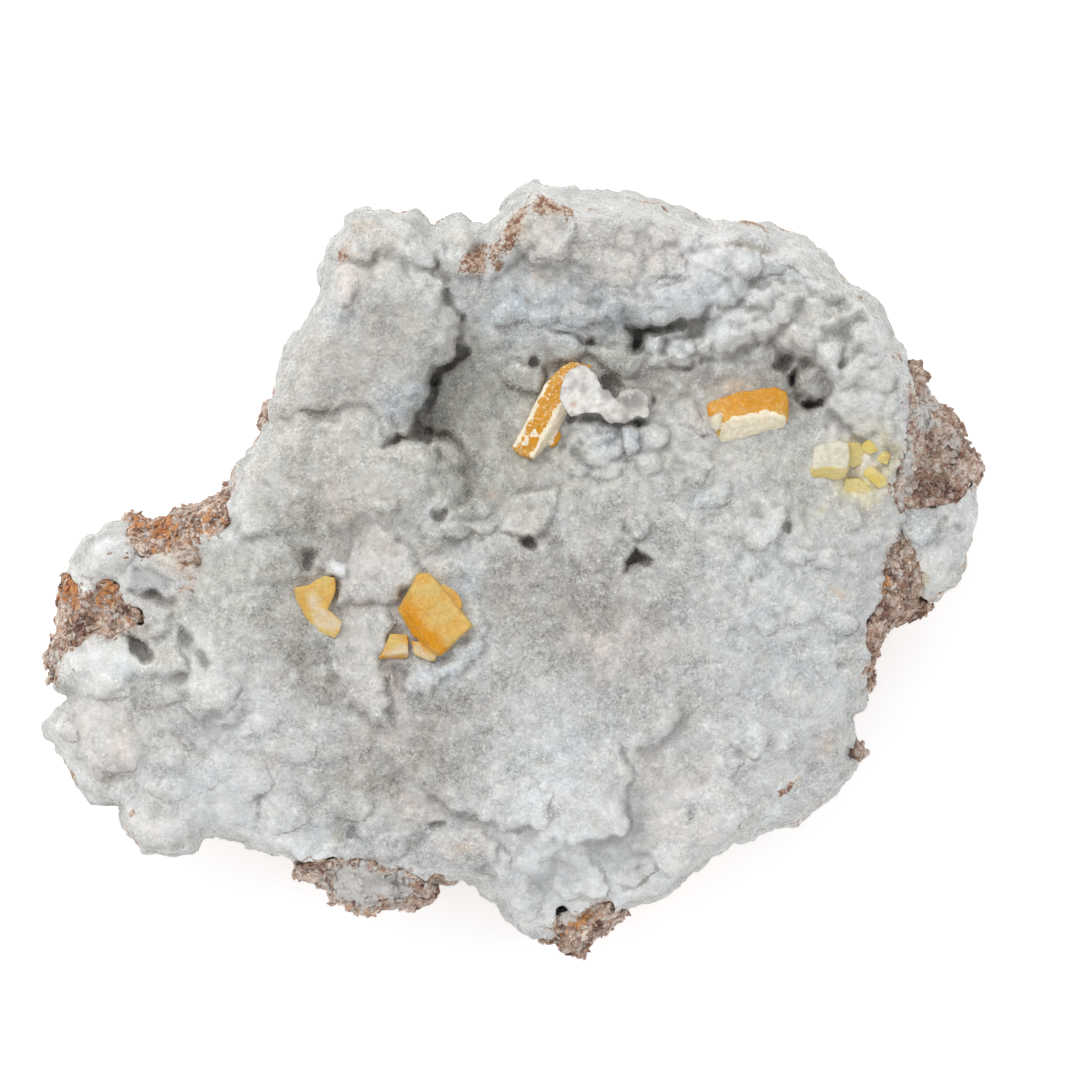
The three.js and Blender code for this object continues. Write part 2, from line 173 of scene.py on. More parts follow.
# The face's level at places of its own: x, y, level.
LEVELS = [
    # the recess in the upper middle
    (-2, 17, 19.8), (-2, 24, 24.6), (2, 24.6, 26.0), (0, 21, 22.2), (5, 22.3, 23.0), (5, 25.4, 26.6),
    (8.5, 26.8, 27.4), (-3, 20, 21.0), (-3.5, 27, 26.8), (-5.5, 30, 27.2), (0, 28.4, 27.8),
    (5, 28.4, 28.2), (4, 20, 20.6), (4, 15.8, 20.4), (10, 19.5, 19.4), (13, 22, 20.0), (9, 13, 21.5),
    (18, 20.5, 21.6), (15, 15, 21.6), (24, 15, 22.4), (22, 20, 22.6), (28.5, 18.5, 20.4),
    (30.5, 16.5, 20.6), (-2, 11.5, 22.0), (0, 6, 23.6), (-4, 5, 25.0), (-3.5, 8.5, 24.4), (-9, 17, 20.0),
    (8.5, 23.5, 21.5),
    # the right
    (32.3, 11, 21.8), (35, 8, 21.0), (36.5, 11.5, 20.8), (38, 16, 21.6), (38, 21, 23.0), (25, 8, 23.4),
    (15, 8, 23.2), (20, 2, 24.4), (8, 5, 24.0), (10, -2, 25.2), (18, -8, 25.0), (28, -4, 23.6),
    (34, 0, 22.2), (33, -10, 21.4), (26, -14, 23.0), (20, -20, 22.6), (30, -20, 18.8), (25, -25, 18.4),
    (18, -26, 20.4), (12, -30, 19.0), (5, -34, 16.5), (42, 15, 17.0), (44, 10, 15.4), (43, 4, 17.4),
    (45, 0, 16.4), (40, -3, 18.0),
    # the middle and the bottom
    (0, 0, 25.6), (-7.2, -4.6, 26.4), (5, -8, 26.2), (0, -14, 26.6), (-8, -16, 25.6), (4, -18, 26.6),
    (8, -22, 25.4), (0, -24, 24.6), (-10, -24, 23.0), (-5, -29, 20.6), (-15, -28, 19.6), (-15, -32, 17.0),
    (-22, -24, 21.4),
    # the left
    (-19.2, -3.6, 26.2), (-11.4, -8, 25.3), (-13, 3, 28.0), (-18, 8, 29.0), (-24, 6, 28.4),
    (-24, 0, 27.8), (-26, -8, 26.2), (-20, -12, 25.2), (-15, -18, 24.8), (-28, -14, 24.0),
    (-30, -20, 22.0), (-36, -16, 21.6), (-42, -16, 19.6), (-36, -25, 19.4), (-42, -21, 18.2),
    (-40, -9, 21.4), (-34, -9, 23.0), (-33, -3, 24.0), (-40, 2, 21.0), (-36, -1, 22.6), (-44, -4, 19.0),
    (-30, 5, 24.5), (-20, 18, 28.0),
    # the top
    (8, 32, 26.5), (0, 34, 25.5), (20, 31, 26.5), (30, 27, 25.4), (36, 22, 24.6), (-4, 31, 23.5),
    (-13, 24, 29.0), (-13, 33, 26.5),
]
LEVEL_REACH = 3.6

# Masses with a rounded edge: outline, level of the top, radius of the edge, height of the edge,
# slope of the top. Where the face round a mass is as high as its edge, the edge can't be seen.
BLOCKS = [
    # the rock at the top left, and the knobs in the notch
    ([(-19.0, 33.0), (-17.0, 36.5), (-14.0, 37.2), (-10.0, 36.5), (-8.2, 34.6), (-7.8, 31.4),
      (-7.4, 30.2), (-9.0, 26.0), (-13.0, 24.0), (-18.0, 24.0)], 28.6, 3.6, 4.5, (0, 0)),
    ([(-7.3, 36.0), (-3.6, 35.8), (-2.6, 34.0), (-3.6, 31.6), (-6.3, 31.8), (-7.2, 33.4)],
     27.4, 2.0, 2.5, (0, 0)),
    ([(-6.4, 31.8), (-4.6, 32.4), (-2.6, 31.0), (-3.0, 28.6), (-5.8, 28.8), (-6.8, 30.0)],
     27.8, 1.6, 2.0, (0, 0)),
    # the block on the upper left
    ([(-17.5, 30.2), (-16.0, 30.4), (-14.4, 30.0), (-13.0, 31.2), (-11.8, 31.4), (-10.6, 31.0),
      (-9.6, 30.1), (-8.0, 29.4), (-6.8, 28.5), (-6.0, 27.9), (-6.0, 26.4), (-5.3, 25.2),
      (-5.1, 24.0), (-5.5, 22.5), (-5.9, 21.4), (-6.4, 20.6), (-7.6, 19.8), (-8.2, 18.6),
      (-8.5, 17.2), (-9.2, 15.9), (-9.8, 14.9), (-9.8, 13.4), (-12.0, 11.0), (-16.0, 8.0),
      (-30.0, 6.0), (-27.0, 20.0), (-21.0, 29.0)], 30.2, 3.4, 5.0, (0.05, 0.14)),
    # the block on the left of the middle
    ([(-27.0, 13.0), (-23.5, 14.3), (-21.0, 14.8), (-19.8, 15.2), (-19.0, 14.9), (-17.6, 15.1),
      (-16.8, 15.8), (-15.7, 15.9), (-14.5, 15.4), (-13.6, 14.6), (-13.0, 13.7), (-12.5, 13.0),
      (-11.6, 12.5), (-10.4, 12.2), (-8.4, 12.3), (-7.2, 11.8), (-8.0, 7.0), (-14.0, 4.0),
      (-27.0, 3.0)], 30.3, 1.7, 2.4, (0, 0.13)),
    ([(-12.0, 12.4), (-10.4, 12.2), (-8.4, 12.3), (-6.6, 12.2), (-5.3, 11.6), (-4.4, 10.2),
      (-4.0, 8.8), (-4.0, 7.4), (-3.6, 4.0), (-6.0, 1.0), (-15.0, 1.0), (-27.0, 3.0),
      (-28.0, 9.0)], 29.0, 6.5, 6.5, (-0.02, 0.08)),
    # the ledge along the top
    ([(-3.4, 27.4), (-2.8, 31.0), (-1.4, 36.5), (2.0, 39.5), (11.0, 38.5), (18.0, 36.5),
      (26.0, 35.2), (31.5, 32.5), (35.5, 28.2), (33.5, 26.4), (30.0, 27.0), (27.6, 28.4),
      (25.6, 28.4), (24.6, 27.8), (24.0, 26.9), (22.4, 26.5), (21.6, 26.1), (20.6, 26.0),
      (19.4, 25.6), (17.6, 24.7), (15.8, 24.6), (13.8, 24.9), (12.0, 25.0), (10.2, 25.0),
      (9.4, 25.6), (8.4, 27.5), (5.0, 30.0), (1.0, 31.5)], 28.4, 4.0, 3.6, (-0.05, 0.0)),
    # the shoulder on the upper right
    ([(19.3, 24.4), (21.0, 29.0), (26.0, 31.0), (31.0, 31.0), (36.0, 30.0), (42.0, 22.0),
      (42.0, 14.0), (39.4, 8.0), (35.0, 14.0), (32.4, 15.6), (31.4, 17.0), (32.0, 18.6),
      (31.0, 19.6), (30.4, 20.5), (28.6, 21.0), (27.2, 21.8), (26.4, 22.8), (24.4, 22.8),
      (21.6, 21.6), (19.2, 21.8)], 25.7, 2.0, 2.8, (0.0, 0.15)),
    # the big domes below the middle
    ([(4.0, -4.0), (8.5, -9.0), (9.6, -13.2), (10.0, -16.6), (10.9, -17.6), (11.3, -18.8),
      (11.7, -20.0), (11.6, -21.4), (11.1, -22.3), (11.5, -23.2), (11.6, -24.4), (11.1, -25.5),
      (10.2, -26.3), (8.4, -26.8), (3.5, -26.6), (-2.0, -25.4), (-10.0, -22.0), (-16.0, -15.0),
      (-12.0, -6.0)], 26.9, 5.0, 2.6, (0.08, 0.05)),
    ([(8.5, -5.0), (16.0, -6.5), (16.2, -12.0), (17.0, -13.5), (17.0, -14.8), (16.2, -16.0),
      (14.6, -17.2), (12.6, -17.7), (8.0, -17.0)], 25.6, 2.6, 1.2, (0, 0)),
    ([(-31.5, -7.0), (-26.4, -7.0), (-26.2, -14.2), (-28.0, -15.4), (-31.0, -15.0),
      (-33.0, -12.0)], 25.2, 2.0, 1.4, (0, 0)),
]

# Lobes and plates that stand out from what is round them: outline, rise, radius of the edge.
LOBES = [
    ([(-17.4, 31.1), (-16.8, 31.0), (-15.8, 29.6), (-15.1, 28.3), (-15.7, 27.0), (-17.0, 26.7),
      (-18.1, 27.4), (-18.0, 29.4)], 1.5, 1.2),
    ([(2.0, 33.6), (2.6, 34.1), (5.4, 34.2), (6.0, 34.7), (6.7, 34.2), (6.9, 33.2), (6.6, 32.4),
      (5.7, 31.2), (4.4, 31.0), (2.9, 31.3), (2.0, 32.2)], 1.2, 0.9),
    ([(14.6, 27.6), (15.8, 28.3), (17.2, 28.7), (18.2, 29.4), (19.3, 30.0), (20.8, 29.6),
      (21.3, 28.6), (22.2, 28.0), (22.4, 26.6), (20.6, 26.1), (19.2, 25.4), (17.0, 24.9),
      (14.6, 25.2), (12.0, 25.3), (12.4, 27.0)], 0.9, 1.2),
    ([(18.1, 31.4), (19.5, 32.1), (21.6, 32.2), (24.5, 31.7), (25.4, 30.6), (25.0, 29.4),
      (24.3, 28.6), (23.9, 27.3), (22.6, 27.0), (21.6, 28.4), (20.8, 29.6), (18.6, 30.2)], 1.0, 1.4),
    ([(8.0, 36.2), (12.0, 35.0), (16.6, 35.4), (19.0, 33.6), (17.9, 31.4), (17.2, 29.2),
      (14.0, 28.6), (10.0, 28.4), (7.4, 30.0), (7.4, 33.0)], 0.7, 1.6),
    ([(-1.0, 4.4), (0.0, 3.8), (0.8, 3.3), (1.6, 3.3), (2.7, 3.0), (3.3, 3.6), (3.9, 3.8),
      (3.7, 4.4), (4.2, 5.2), (4.9, 6.8), (4.8, 7.5), (4.1, 7.8), (3.4, 7.4), (2.6, 7.8),
      (1.7, 7.6), (0.4, 7.5), (-0.6, 7.0), (-1.0, 5.8)], 1.1, 0.6),
    ([(12.0, 4.9), (12.4, 5.2), (13.8, 5.2), (14.1, 4.5), (13.9, 3.8), (13.0, 3.6), (12.1, 3.9)],
     1.0, 0.5),
    ([(15.6, 5.4), (16.2, 6.1), (17.4, 6.1), (18.1, 5.6), (17.6, 4.8), (16.3, 4.6)], 0.6, 0.5),
    ([(23.6, 4.6), (25.2, 5.7), (26.6, 6.3), (27.7, 6.2), (28.0, 5.2), (27.7, 4.3), (27.0, 3.1),
      (26.0, 2.3), (24.9, 1.9), (23.9, 2.8)], 1.2, 0.8),
    ([(-8.6, 4.5), (-7.6, 5.1), (-6.0, 4.9), (-4.2, 4.7), (-2.6, 4.9), (-1.3, 4.5), (-1.5, 3.8),
      (-3.6, 3.6), (-5.0, 3.0), (-6.6, 3.4), (-8.4, 3.6)], 1.0, 0.6),
    ([(-9.6, -9.2), (-6.9, -8.9), (-3.5, -6.2), (-2.6, -5.4), (-2.8, -8.0), (-4.4, -9.8),
      (-7.0, -10.6), (-8.0, -12.2), (-9.9, -12.8), (-10.7, -11.6), (-10.2, -10.0)], 1.2, 1.4),
    ([(-18.9, 0.1), (-18.4, 0.8), (-17.5, 1.1), (-16.3, 1.0), (-15.7, 0.4), (-16.0, -0.6),
      (-17.2, -0.9), (-18.2, -0.5)], 1.8, 0.7),
    ([(-26.0, -1.0), (-26.2, 2.6), (-24.0, 3.2), (-22.2, 3.0), (-21.3, 1.7), (-21.0, 0.2),
      (-22.6, -1.4)], 0.8, 0.8),
    ([(-44.4, -7.9), (-42.0, -7.7), (-40.0, -7.8), (-38.3, -7.8), (-37.4, -8.5), (-36.0, -9.0),
      (-35.7, -9.7), (-36.5, -10.1), (-38.4, -10.6), (-40.0, -12.4), (-43.0, -12.6)], 0.9, 1.4),
    ([(-36.1, -7.9), (-34.4, -6.4), (-33.4, -6.8), (-32.7, -7.5), (-32.5, -9.8), (-33.4, -10.4),
      (-35.0, -10.5), (-35.7, -9.6)], 1.4, 0.7),
    ([(-37.4, -3.4), (-35.4, -3.3), (-33.9, -3.9), (-34.2, -5.6), (-35.6, -6.4), (-37.0, -5.8)],
     0.8, 0.9),
    ([(-31.7, -10.7), (-30.2, -10.0), (-28.8, -9.9), (-27.8, -10.7), (-27.1, -11.8),
      (-26.9, -12.8), (-27.3, -13.7), (-28.4, -14.0), (-30.6, -14.0), (-32.0, -12.8)], 1.1, 1.8),
    ([(-43.0, -14.0), (-40.8, -13.7), (-39.2, -14.0), (-38.2, -14.9), (-37.4, -16.2),
      (-37.1, -17.6), (-37.2, -19.0), (-37.8, -20.2), (-39.0, -20.4), (-41.0, -20.0),
      (-43.6, -18.6)], 1.4, 2.4),
    ([(-38.6, -24.2), (-36.4, -24.0), (-33.6, -24.4), (-31.4, -26.2), (-31.6, -29.2),
      (-38.0, -29.0)], 0.8, 1.8),
    ([(-9.0, -27.8), (-7.6, -26.2), (-5.0, -25.6), (-3.0, -26.0), (-1.7, -27.6), (-1.9, -29.6),
      (-3.8, -30.6), (-7.0, -31.4), (-8.8, -30.4)], 1.3, 1.1),
    ([(3.9, -22.4), (4.1, -24.0), (3.5, -25.4), (2.2, -26.2), (-1.4, -26.0), (-3.6, -24.6),
      (-2.0, -21.6), (1.4, -20.6)], 0.8, 1.6),
    ([(14.6, -21.6), (22.0, -21.0), (24.4, -24.4), (22.4, -28.6), (17.0, -31.2), (13.4, -29.0),
      (12.8, -25.4)], 1.6, 3.2),
    ([(4.0, -28.6), (5.2, -28.1), (7.0, -28.1), (8.2, -29.2), (9.6, -31.2), (8.6, -32.4),
      (5.4, -33.2), (4.2, -31.0)], 1.0, 1.0),
    ([(40.2, 5.6), (42.6, 5.8), (43.6, 4.6), (42.8, 3.0), (41.0, 2.6), (40.0, 3.6)], 1.4, 1.2),
    # the two blades between the crystals
    ([(-14.6, 4.3), (-13.3, 4.4), (-11.4, 3.6), (-10.7, 2.1), (-9.5, 1.6), (-9.0, -0.2),
      (-9.3, -1.7), (-10.8, -3.4), (-13.0, -3.7), (-15.0, -3.5), (-17.2, -3.4), (-17.4, -1.0),
      (-16.2, 0.8), (-15.4, 2.6)], 2.0, 1.5),
    ([(-16.3, -3.9), (-14.4, -3.6), (-12.4, -3.8), (-11.6, -5.0), (-11.9, -6.3), (-12.2, -7.6),
      (-12.9, -8.8), (-12.6, -11.8), (-12.1, -14.6), (-12.2, -16.0), (-13.6, -15.6),
      (-14.4, -14.2), (-16.6, -13.2), (-17.6, -10.0), (-17.4, -7.0)], 2.0, 1.2),
    ([(41.0, 2.4), (43.2, 2.8), (46.0, 2.4), (46.0, -0.4), (43.4, -2.6), (41.2, -1.6),
      (40.6, 0.4)], 1.8, 1.6),
]

# Seats of the crystals, which lie lower than the masses round them: x, y, half length, half
# width, turn, level.
SEATS = [
    (-7.2, -4.6, 4.6, 4.4, 0, 26.4), (-19.2, -3.6, 3.4, 4.0, 0, 26.2), (-11.4, -8, 3, 3, 0, 25.2),
    (-13.6, -1.0, 4.4, 5.0, 0, 26.4), (-14.8, -10, 2.6, 5.6, 10, 25.4), (4.1, 15.8, 3.2, 6.4, -32, 20.8),
    (23.8, 15.2, 5.6, 3.2, 6, 22.6), (32.3, 11, 3.4, 3, 0, 21.8), (35.6, 9.8, 3.2, 3.8, 0, 21.0),
]

# Rounded bumps: x, y, half length, half width, turn, rise.
BUMPS = [
    (35.9, 23.0, 1.9, 1.5, 0, 0.9), (32.0, 21.3, 1.3, 2.1, 10, 1.2), (34.1, 21.9, 0.8, 0.8, 0, 0.5),
    (33.2, 25.0, 1.6, 0.9, 10, 0.6), (35.0, 26.3, 1.4, 1.0, 30, 0.6), (31.0, 25.0, 2.0, 2.0, 0, 0.7),
    (29.4, 23.2, 1.8, 1.5, 0, 0.8), (36.2, 19.9, 2.5, 2.2, 0, 0.7), (27.2, 25.7, 1.5, 1.2, 20, 0.9),
    (24.9, 27.0, 1.4, 0.9, 20, 0.9), (23.0, 24.6, 1.7, 1.4, 0, 0.6), (25.6, 24.2, 1.3, 1.2, 0, 0.5),
    (28.6, 27.4, 1.4, 1.2, 0, 0.6), (26.6, 27.6, 1.2, 0.8, 10, 0.5), (30.2, 18.3, 1.6, 1.5, 20, 1.6),
    (21.6, 23.4, 1.7, 1.3, 0, 0.7), (20.4, 25.6, 0.6, 0.6, 0, 0.7), (33.6, 19.4, 1.4, 1.2, 0, 0.5),
    (14.8, 22.9, 1.0, 1.4, 0, 1.6), (17.3, 22.3, 1.3, 1.0, 0, 1.5), (18.8, 22.4, 1.0, 0.9, 0, 1.2),
    (17.0, 21.1, 1.1, 0.9, 0, 1.0), (18.5, 20.8, 0.5, 0.5, 0, 0.8), (19.5, 21.9, 0.7, 0.8, 0, 0.8),
    (16.9, 23.6, 1.1, 0.9, 0, 0.9), (15.2, 21.2, 1.1, 1.1, 0, 0.8), (11.0, 21.0, 2.4, 1.4, 0, 0.9),
    (6.2, 22.6, 2.0, 1.6, 0, 0.8), (8.5, 21.4, 0.4, 0.5, 0, 0.4), (1.2, 19.4, 2.4, 1.4, -10, 0.9),
    (12.4, 34.8, 1.7, 1.4, 0, 0.5), (15.6, 35.0, 1.4, 1.0, 0, 0.5), (15.2, 33.2, 1.3, 1.1, 0, 0.5),
    (11.4, 33.0, 1.2, 1.0, 0, 0.4), (18.6, 34.4, 1.4, 1.0, 0, 0.4), (21.4, 33.8, 1.6, 0.9, 0, 0.4),
    (24.6, 33.0, 1.6, 0.8, 0, 0.4), (27.6, 31.6, 1.5, 1.0, -30, 0.5), (29.6, 30.6, 1.3, 1.0, -30, 0.5),
    (32.0, 28.2, 1.3, 1.2, 0, 0.5), (6.8, 25.6, 1.8, 1.2, 0, 0.5), (9.4, 26.0, 1.4, 1.0, 0, 0.5),
    (3.6, 25.6, 1.6, 1.1, 0, 0.5), (0.0, 26.0, 2.0, 1.4, 0, 0.5), (-2.0, 23.8, 1.6, 1.6, 0, 0.4),
    (-12.5, 13.8, 1.1, 1.0, 0, 1.4), (-10.2, 13.5, 1.1, 1.1, 0, 1.6), (8.4, 14.1, 2.4, 1.3, 0, 1.0),
    (9.0, 12.4, 2.1, 1.6, 0, 1.1), (11.9, 13.2, 1.0, 1.5, 10, 1.1), (6.6, 13.0, 1.2, 1.3, 0, 0.8),
    (14.6, 13.4, 1.4, 1.2, 0, 0.7), (13.8, 10.6, 1.4, 0.9, 0, 0.5), (10.0, 10.4, 1.6, 1.0, 0, 0.5),
    (6.8, 10.4, 1.6, 1.0, 0, 0.5), (18.4, 10.4, 1.6, 1.2, 0, 0.4), (20.0, 7.6, 1.8, 1.1, 20, 0.5),
    (-13.2, 6.3, 0.8, 0.8, 0, 0.4), (-11.9, 6.5, 0.7, 0.7, 0, 0.4), (-7.4, 3.0, 0.8, 0.8, 0, 0.4),
    (-3.0, 6.4, 1.4, 1.0, 0, 0.6), (-4.6, 5.6, 0.8, 0.7, 0, 0.5), (2.1, 7.2, 0.6, 0.6, 0, 0.5),
    (-40.6, 2.2, 3.6, 2.8, 30, 1.2), (-42.4, -21.6, 2.0, 1.8, 0, 0.9), (-35.0, -26.6, 3.2, 1.8, 0, 0.6),
    (-40.2, -11.2, 2.0, 1.6, 0, 0.6), (-45.0, -15.6, 1.8, 1.4, 20, 0.6), (-35.2, -12.4, 2.6, 1.5, 0, 0.6),
    (-34.6, -18.4, 2.4, 2.0, 0, 0.6), (-30.0, -19.8, 2.6, 2.0, 0, 0.6), (-34.4, -21.8, 1.9, 1.4, 0, 0.5),
    (-26.6, -20.8, 2.6, 2.2, 0, 0.5), (-23.0, -24.4, 2.4, 1.8, 0, 0.5), (-28.2, -24.2, 2.2, 1.6, 0, 0.4),
    (-22.0, -17.6, 2.6, 1.8, 0, 0.5), (-25.0, -15.6, 1.6, 1.0, 0, 0.4), (12.4, -30.2, 1.6, 1.4, 0, 0.5),
    (12.6, -27.6, 1.4, 1.2, 0, 0.4), (0.6, -32.4, 2.4, 2.6, 30, 0.9), (-1.2, -29.6, 1.2, 1.4, 0, 0.5),
    (33.0, -5.0, 1.6, 1.2, 0, 0.5), (29.4, -4.4, 1.8, 1.4, 20, 0.5), (25.6, -5.0, 1.4, 1.0, 0, 0.4),
    (31.6, 1.2, 1.4, 1.0, 30, 0.5), (28.8, 1.4, 1.2, 1.0, 0, 0.4), (34.0, 5.0, 1.2, 1.4, 0, 0.4),
    (20.6, -19.6, 2.0, 1.6, 0, 0.4), (24.0, -17.0, 2.2, 1.6, 20, 0.4), (-16.4, -23.4, 2.6, 1.6, 0, 0.4),
    (-12.0, -27.4, 2.0, 1.4, 0, 0.5), (-19.0, -24.6, 1.6, 1.4, 0, 0.5), (44.7, 4.8, 0.9, 1.1, 0, 0.6),
    (36.0, 10.9, 1.6, 1.9, 0, 0.3), (35.4, 10.2, 0.5, 0.4, 20, 0.3), (36.0, 11.1, 0.4, 0.3, -30, 0.3),
    (36.6, 10.4, 0.4, 0.4, 0, 0.3), (35.5, 11.2, 0.3, 0.4, 0, 0.3),
]

# Pits and caves: x, y, half length, half width, turn, depth.
PITS = [
    (9.9, 17.8, 1.3, 0.7, -25, 1.2), (13.2, 14.6, 0.8, 0.6, 0, 1.2), (27.0, 20.6, 0.7, 1.6, 25, 2.2),
    (30.0, 16.6, 1.4, 0.5, 5, 2.0), (26.5, 22.2, 0.3, 0.8, 25, 2.6), (27.4, 21.0, 0.9, 0.6, 0, 3.0),
    (28.5, 19.0, 0.5, 0.8, -35, 3.4), (30.4, 16.5, 1.0, 0.5, 10, 4.0), (29.3, 17.0, 0.7, 1.2, 30, 1.6),
    (2.6, 20.4, 1.2, 0.5, -15, 2.2), (8.4, 22.9, 0.6, 0.5, 0, 1.0), (10.4, 18.6, 1.6, 0.6, -20, 1.4),
    (14.7, 17.0, 0.5, 0.9, 0, 2.0), (2.0, 2.5, 1.1, 0.5, -8, 2.6), (0.2, 3.6, 0.8, 0.25, -30, 1.2),
    (-7.1, 5.8, 0.8, 0.4, -20, 2.2), (2.1, 5.8, 0.7, 0.4, -10, 0.7), (13.0, 14.2, 0.7, 0.5, 0, 2.2),
    (10.5, 14.5, 0.4, 0.3, 0, 1.2), (6.6, 15.2, 1.0, 0.3, 15, 1.6), (5.2, 12.8, 0.4, 1.6, -30, 1.0),
    (11.9, 10.9, 0.6, 0.3, -10, 1.6), (19.3, 13.3, 0.5, 0.3, 0, 1.2), (22.9, 0.4, 0.3, 0.6, 0, 0.8),
    (23.9, -1.0, 0.4, 0.25, 0, 1.0), (23.4, -2.6, 0.25, 0.25, 0, 1.0), (28.4, 4.2, 0.4, 0.6, 0, 1.2),
    (11.4, 4.5, 0.4, 0.4, 0, 1.0), (12.3, 3.0, 0.3, 0.4, 0, 1.4), (13.9, 3.2, 0.25, 0.3, 0, 0.9),
    (9.2, 0.0, 1.0, 0.25, 0, 0.9), (-35.4, -2.7, 1.8, 0.7, -15, 1.2), (-36.0, -1.2, 2.6, 1.2, 0, 0.6),
    (-38.0, -13.4, 0.3, 0.8, 0, 1.0), (-7.2, -25.3, 1.2, 0.5, 28, 2.4),
    (-15.6, -26.2, 0.9, 0.7, -20, 0.9), (-16.3, 25.4, 1.1, 1.5, -35, 0.4), (0.4, 22.2, 0.4, 0.4, 0, 0.4),
    (2.3, 25.7, 0.35, 0.35, 0, 0.3), (12.2, 31.3, 0.6, 0.35, -30, 0.8), (20.0, 29.8, 0.7, 0.2, -15, 1.0),
    (26.6, 29.2, 1.0, 0.3, 0, 0.9), (27.2, 28.3, 0.8, 0.25, -10, 1.0), (31.0, 29.3, 0.25, 0.5, 35, 1.2),
    (-9.9, 33.3, 1.0, 0.3, -25, 0.9), (-13.8, 31.0, 1.2, 0.3, 30, 0.9), (-19.8, 1.0, 1.1, 0.9, 0, 0.8),
    (-3.1, 2.9, 0.4, 0.3, 0, 0.7), (-1.6, 2.6, 0.3, 0.4, 0, 0.7), (-2.6, 2.2, 0.3, 0.3, 0, 0.6),
    (6.2, 11.8, 0.3, 0.25, 0, 0.7), (24.0, 6.2, 1.2, 0.9, 0, 0.4), (12.4, -30.0, 0.6, 0.5, 0, 0.6),
    (45.0, 3.9, 0.5, 0.4, 0, 1.0), (44.0, 4.8, 0.3, 0.8, 0, 0.9), (-29.6, -14.6, 1.8, 0.6, 0, 0.7),
    (-8.6, 4.2, 0.3, 0.4, 0, 0.9), (-11.4, -10.8, 0.9, 1.8, 10, 0.7), (32.6, -9.6, 0.7, 0.5, 0, 0.4),
    (-6.9, 32.0, 0.5, 1.0, 20, 1.0),
]

# Cracks and crevices: points, half width, depth.
CREVICES = [
    ([(-5.3, 22.3), (-4.9, 21.7), (-6.0, 20.4), (-7.3, 19.2), (-7.9, 17.6), (-8.8, 16.2),
      (-9.0, 15.9)], 0.45, 2.8),
    ([(-6.2, 27.4), (-5.0, 25.4), (-4.9, 24.0), (-5.2, 22.6)], 0.25, 1.2),
    ([(-17.6, 30.6), (-16.0, 30.8), (-14.4, 30.4), (-13.0, 31.6), (-11.8, 31.8), (-10.6, 31.4),
      (-9.6, 30.5), (-8.2, 29.8)], 0.5, 1.0),
    ([(-7.6, 31.0), (-7.4, 30.0), (-6.4, 28.4)], 0.3, 1.4),
    ([(-9.6, 14.6), (-9.2, 13.6), (-8.0, 13.2), (-6.4, 12.8), (-5.2, 12.4)], 0.35, 2.6),
    ([(-13.0, 14.4), (-11.4, 12.9), (-9.6, 12.7)], 0.2, 1.0),
    ([(-23.4, 14.8), (-21.0, 15.3), (-19.4, 15.6), (-17.4, 15.7), (-15.6, 16.3), (-14.2, 15.8),
      (-13.0, 14.4)], 0.3, 0.8),
    ([(15.0, 27.8), (15.9, 28.3), (17.1, 28.6), (17.8, 29.1)], 0.14, 1.0),
    ([(17.9, 30.3), (17.9, 30.9), (17.5, 31.4)], 0.14, 0.9),
    ([(20.6, 25.9), (21.8, 26.2), (22.5, 26.7), (23.9, 26.8)], 0.2, 1.2),
    ([(21.8, 32.1), (24.0, 31.9), (25.6, 31.6)], 0.18, 0.8),
    ([(4.6, 24.0), (6.6, 23.7), (7.6, 23.2), (8.1, 22.4), (8.9, 22.2)], 0.2, 1.5),
    ([(1.0, 21.4), (1.1, 20.7), (2.0, 20.6)], 0.18, 1.2),
    ([(3.6, 19.8), (4.0, 19.4)], 0.25, 1.0),
    ([(15.8, 20.2), (16.8, 20.0), (17.7, 20.2), (18.1, 20.6)], 0.2, 1.4),
    ([(18.8, 20.5), (19.4, 21.0), (20.2, 21.2)], 0.15, 0.9),
    ([(11.1, 14.2), (11.1, 12.6), (11.5, 11.4), (12.3, 10.9), (12.7, 10.2)], 0.16, 1.1),
    ([(17.4, 15.0), (18.4, 14.8), (19.0, 13.8), (19.3, 13.2), (20.4, 13.2)], 0.14, 0.9),
    ([(33.3, 20.9), (34.0, 20.6), (34.6, 20.9)], 0.16, 0.9),
    ([(26.0, 26.2), (26.4, 27.0)], 0.12, 0.7),
    ([(28.2, 24.6), (28.3, 25.6)], 0.12, 0.6),
    ([(-27.0, -11.8), (-26.8, -13.0), (-27.4, -14.0)], 0.2, 0.8),
    ([(-33.0, -6.0), (-31.8, -7.0), (-30.8, -8.2), (-30.6, -9.2)], 0.55, 1.2),
    ([(-25.2, -22.7), (-25.1, -23.8), (-25.5, -25.2)], 0.16, 0.6),
    ([(-38.6, -2.0), (-36.8, -2.1), (-35.6, -2.9), (-34.2, -3.4), (-33.4, -2.8)], 0.25, 1.0),
    ([(-32.4, -18.6), (-32.3, -19.8)], 0.15, 0.5),
    ([(11.0, -17.6), (11.6, -19.0), (12.0, -20.2), (11.7, -22.0), (12.0, -24.0), (11.4, -26.0),
      (9.6, -27.0)], 0.25, 0.7),
    ([(-16.2, -4.0), (-15.2, -4.4), (-13.8, -4.0)], 0.12, 0.4),
    ([(38.3, 19.0), (38.1, 14.0), (38.0, 11.0)], 0.2, 0.3),
]
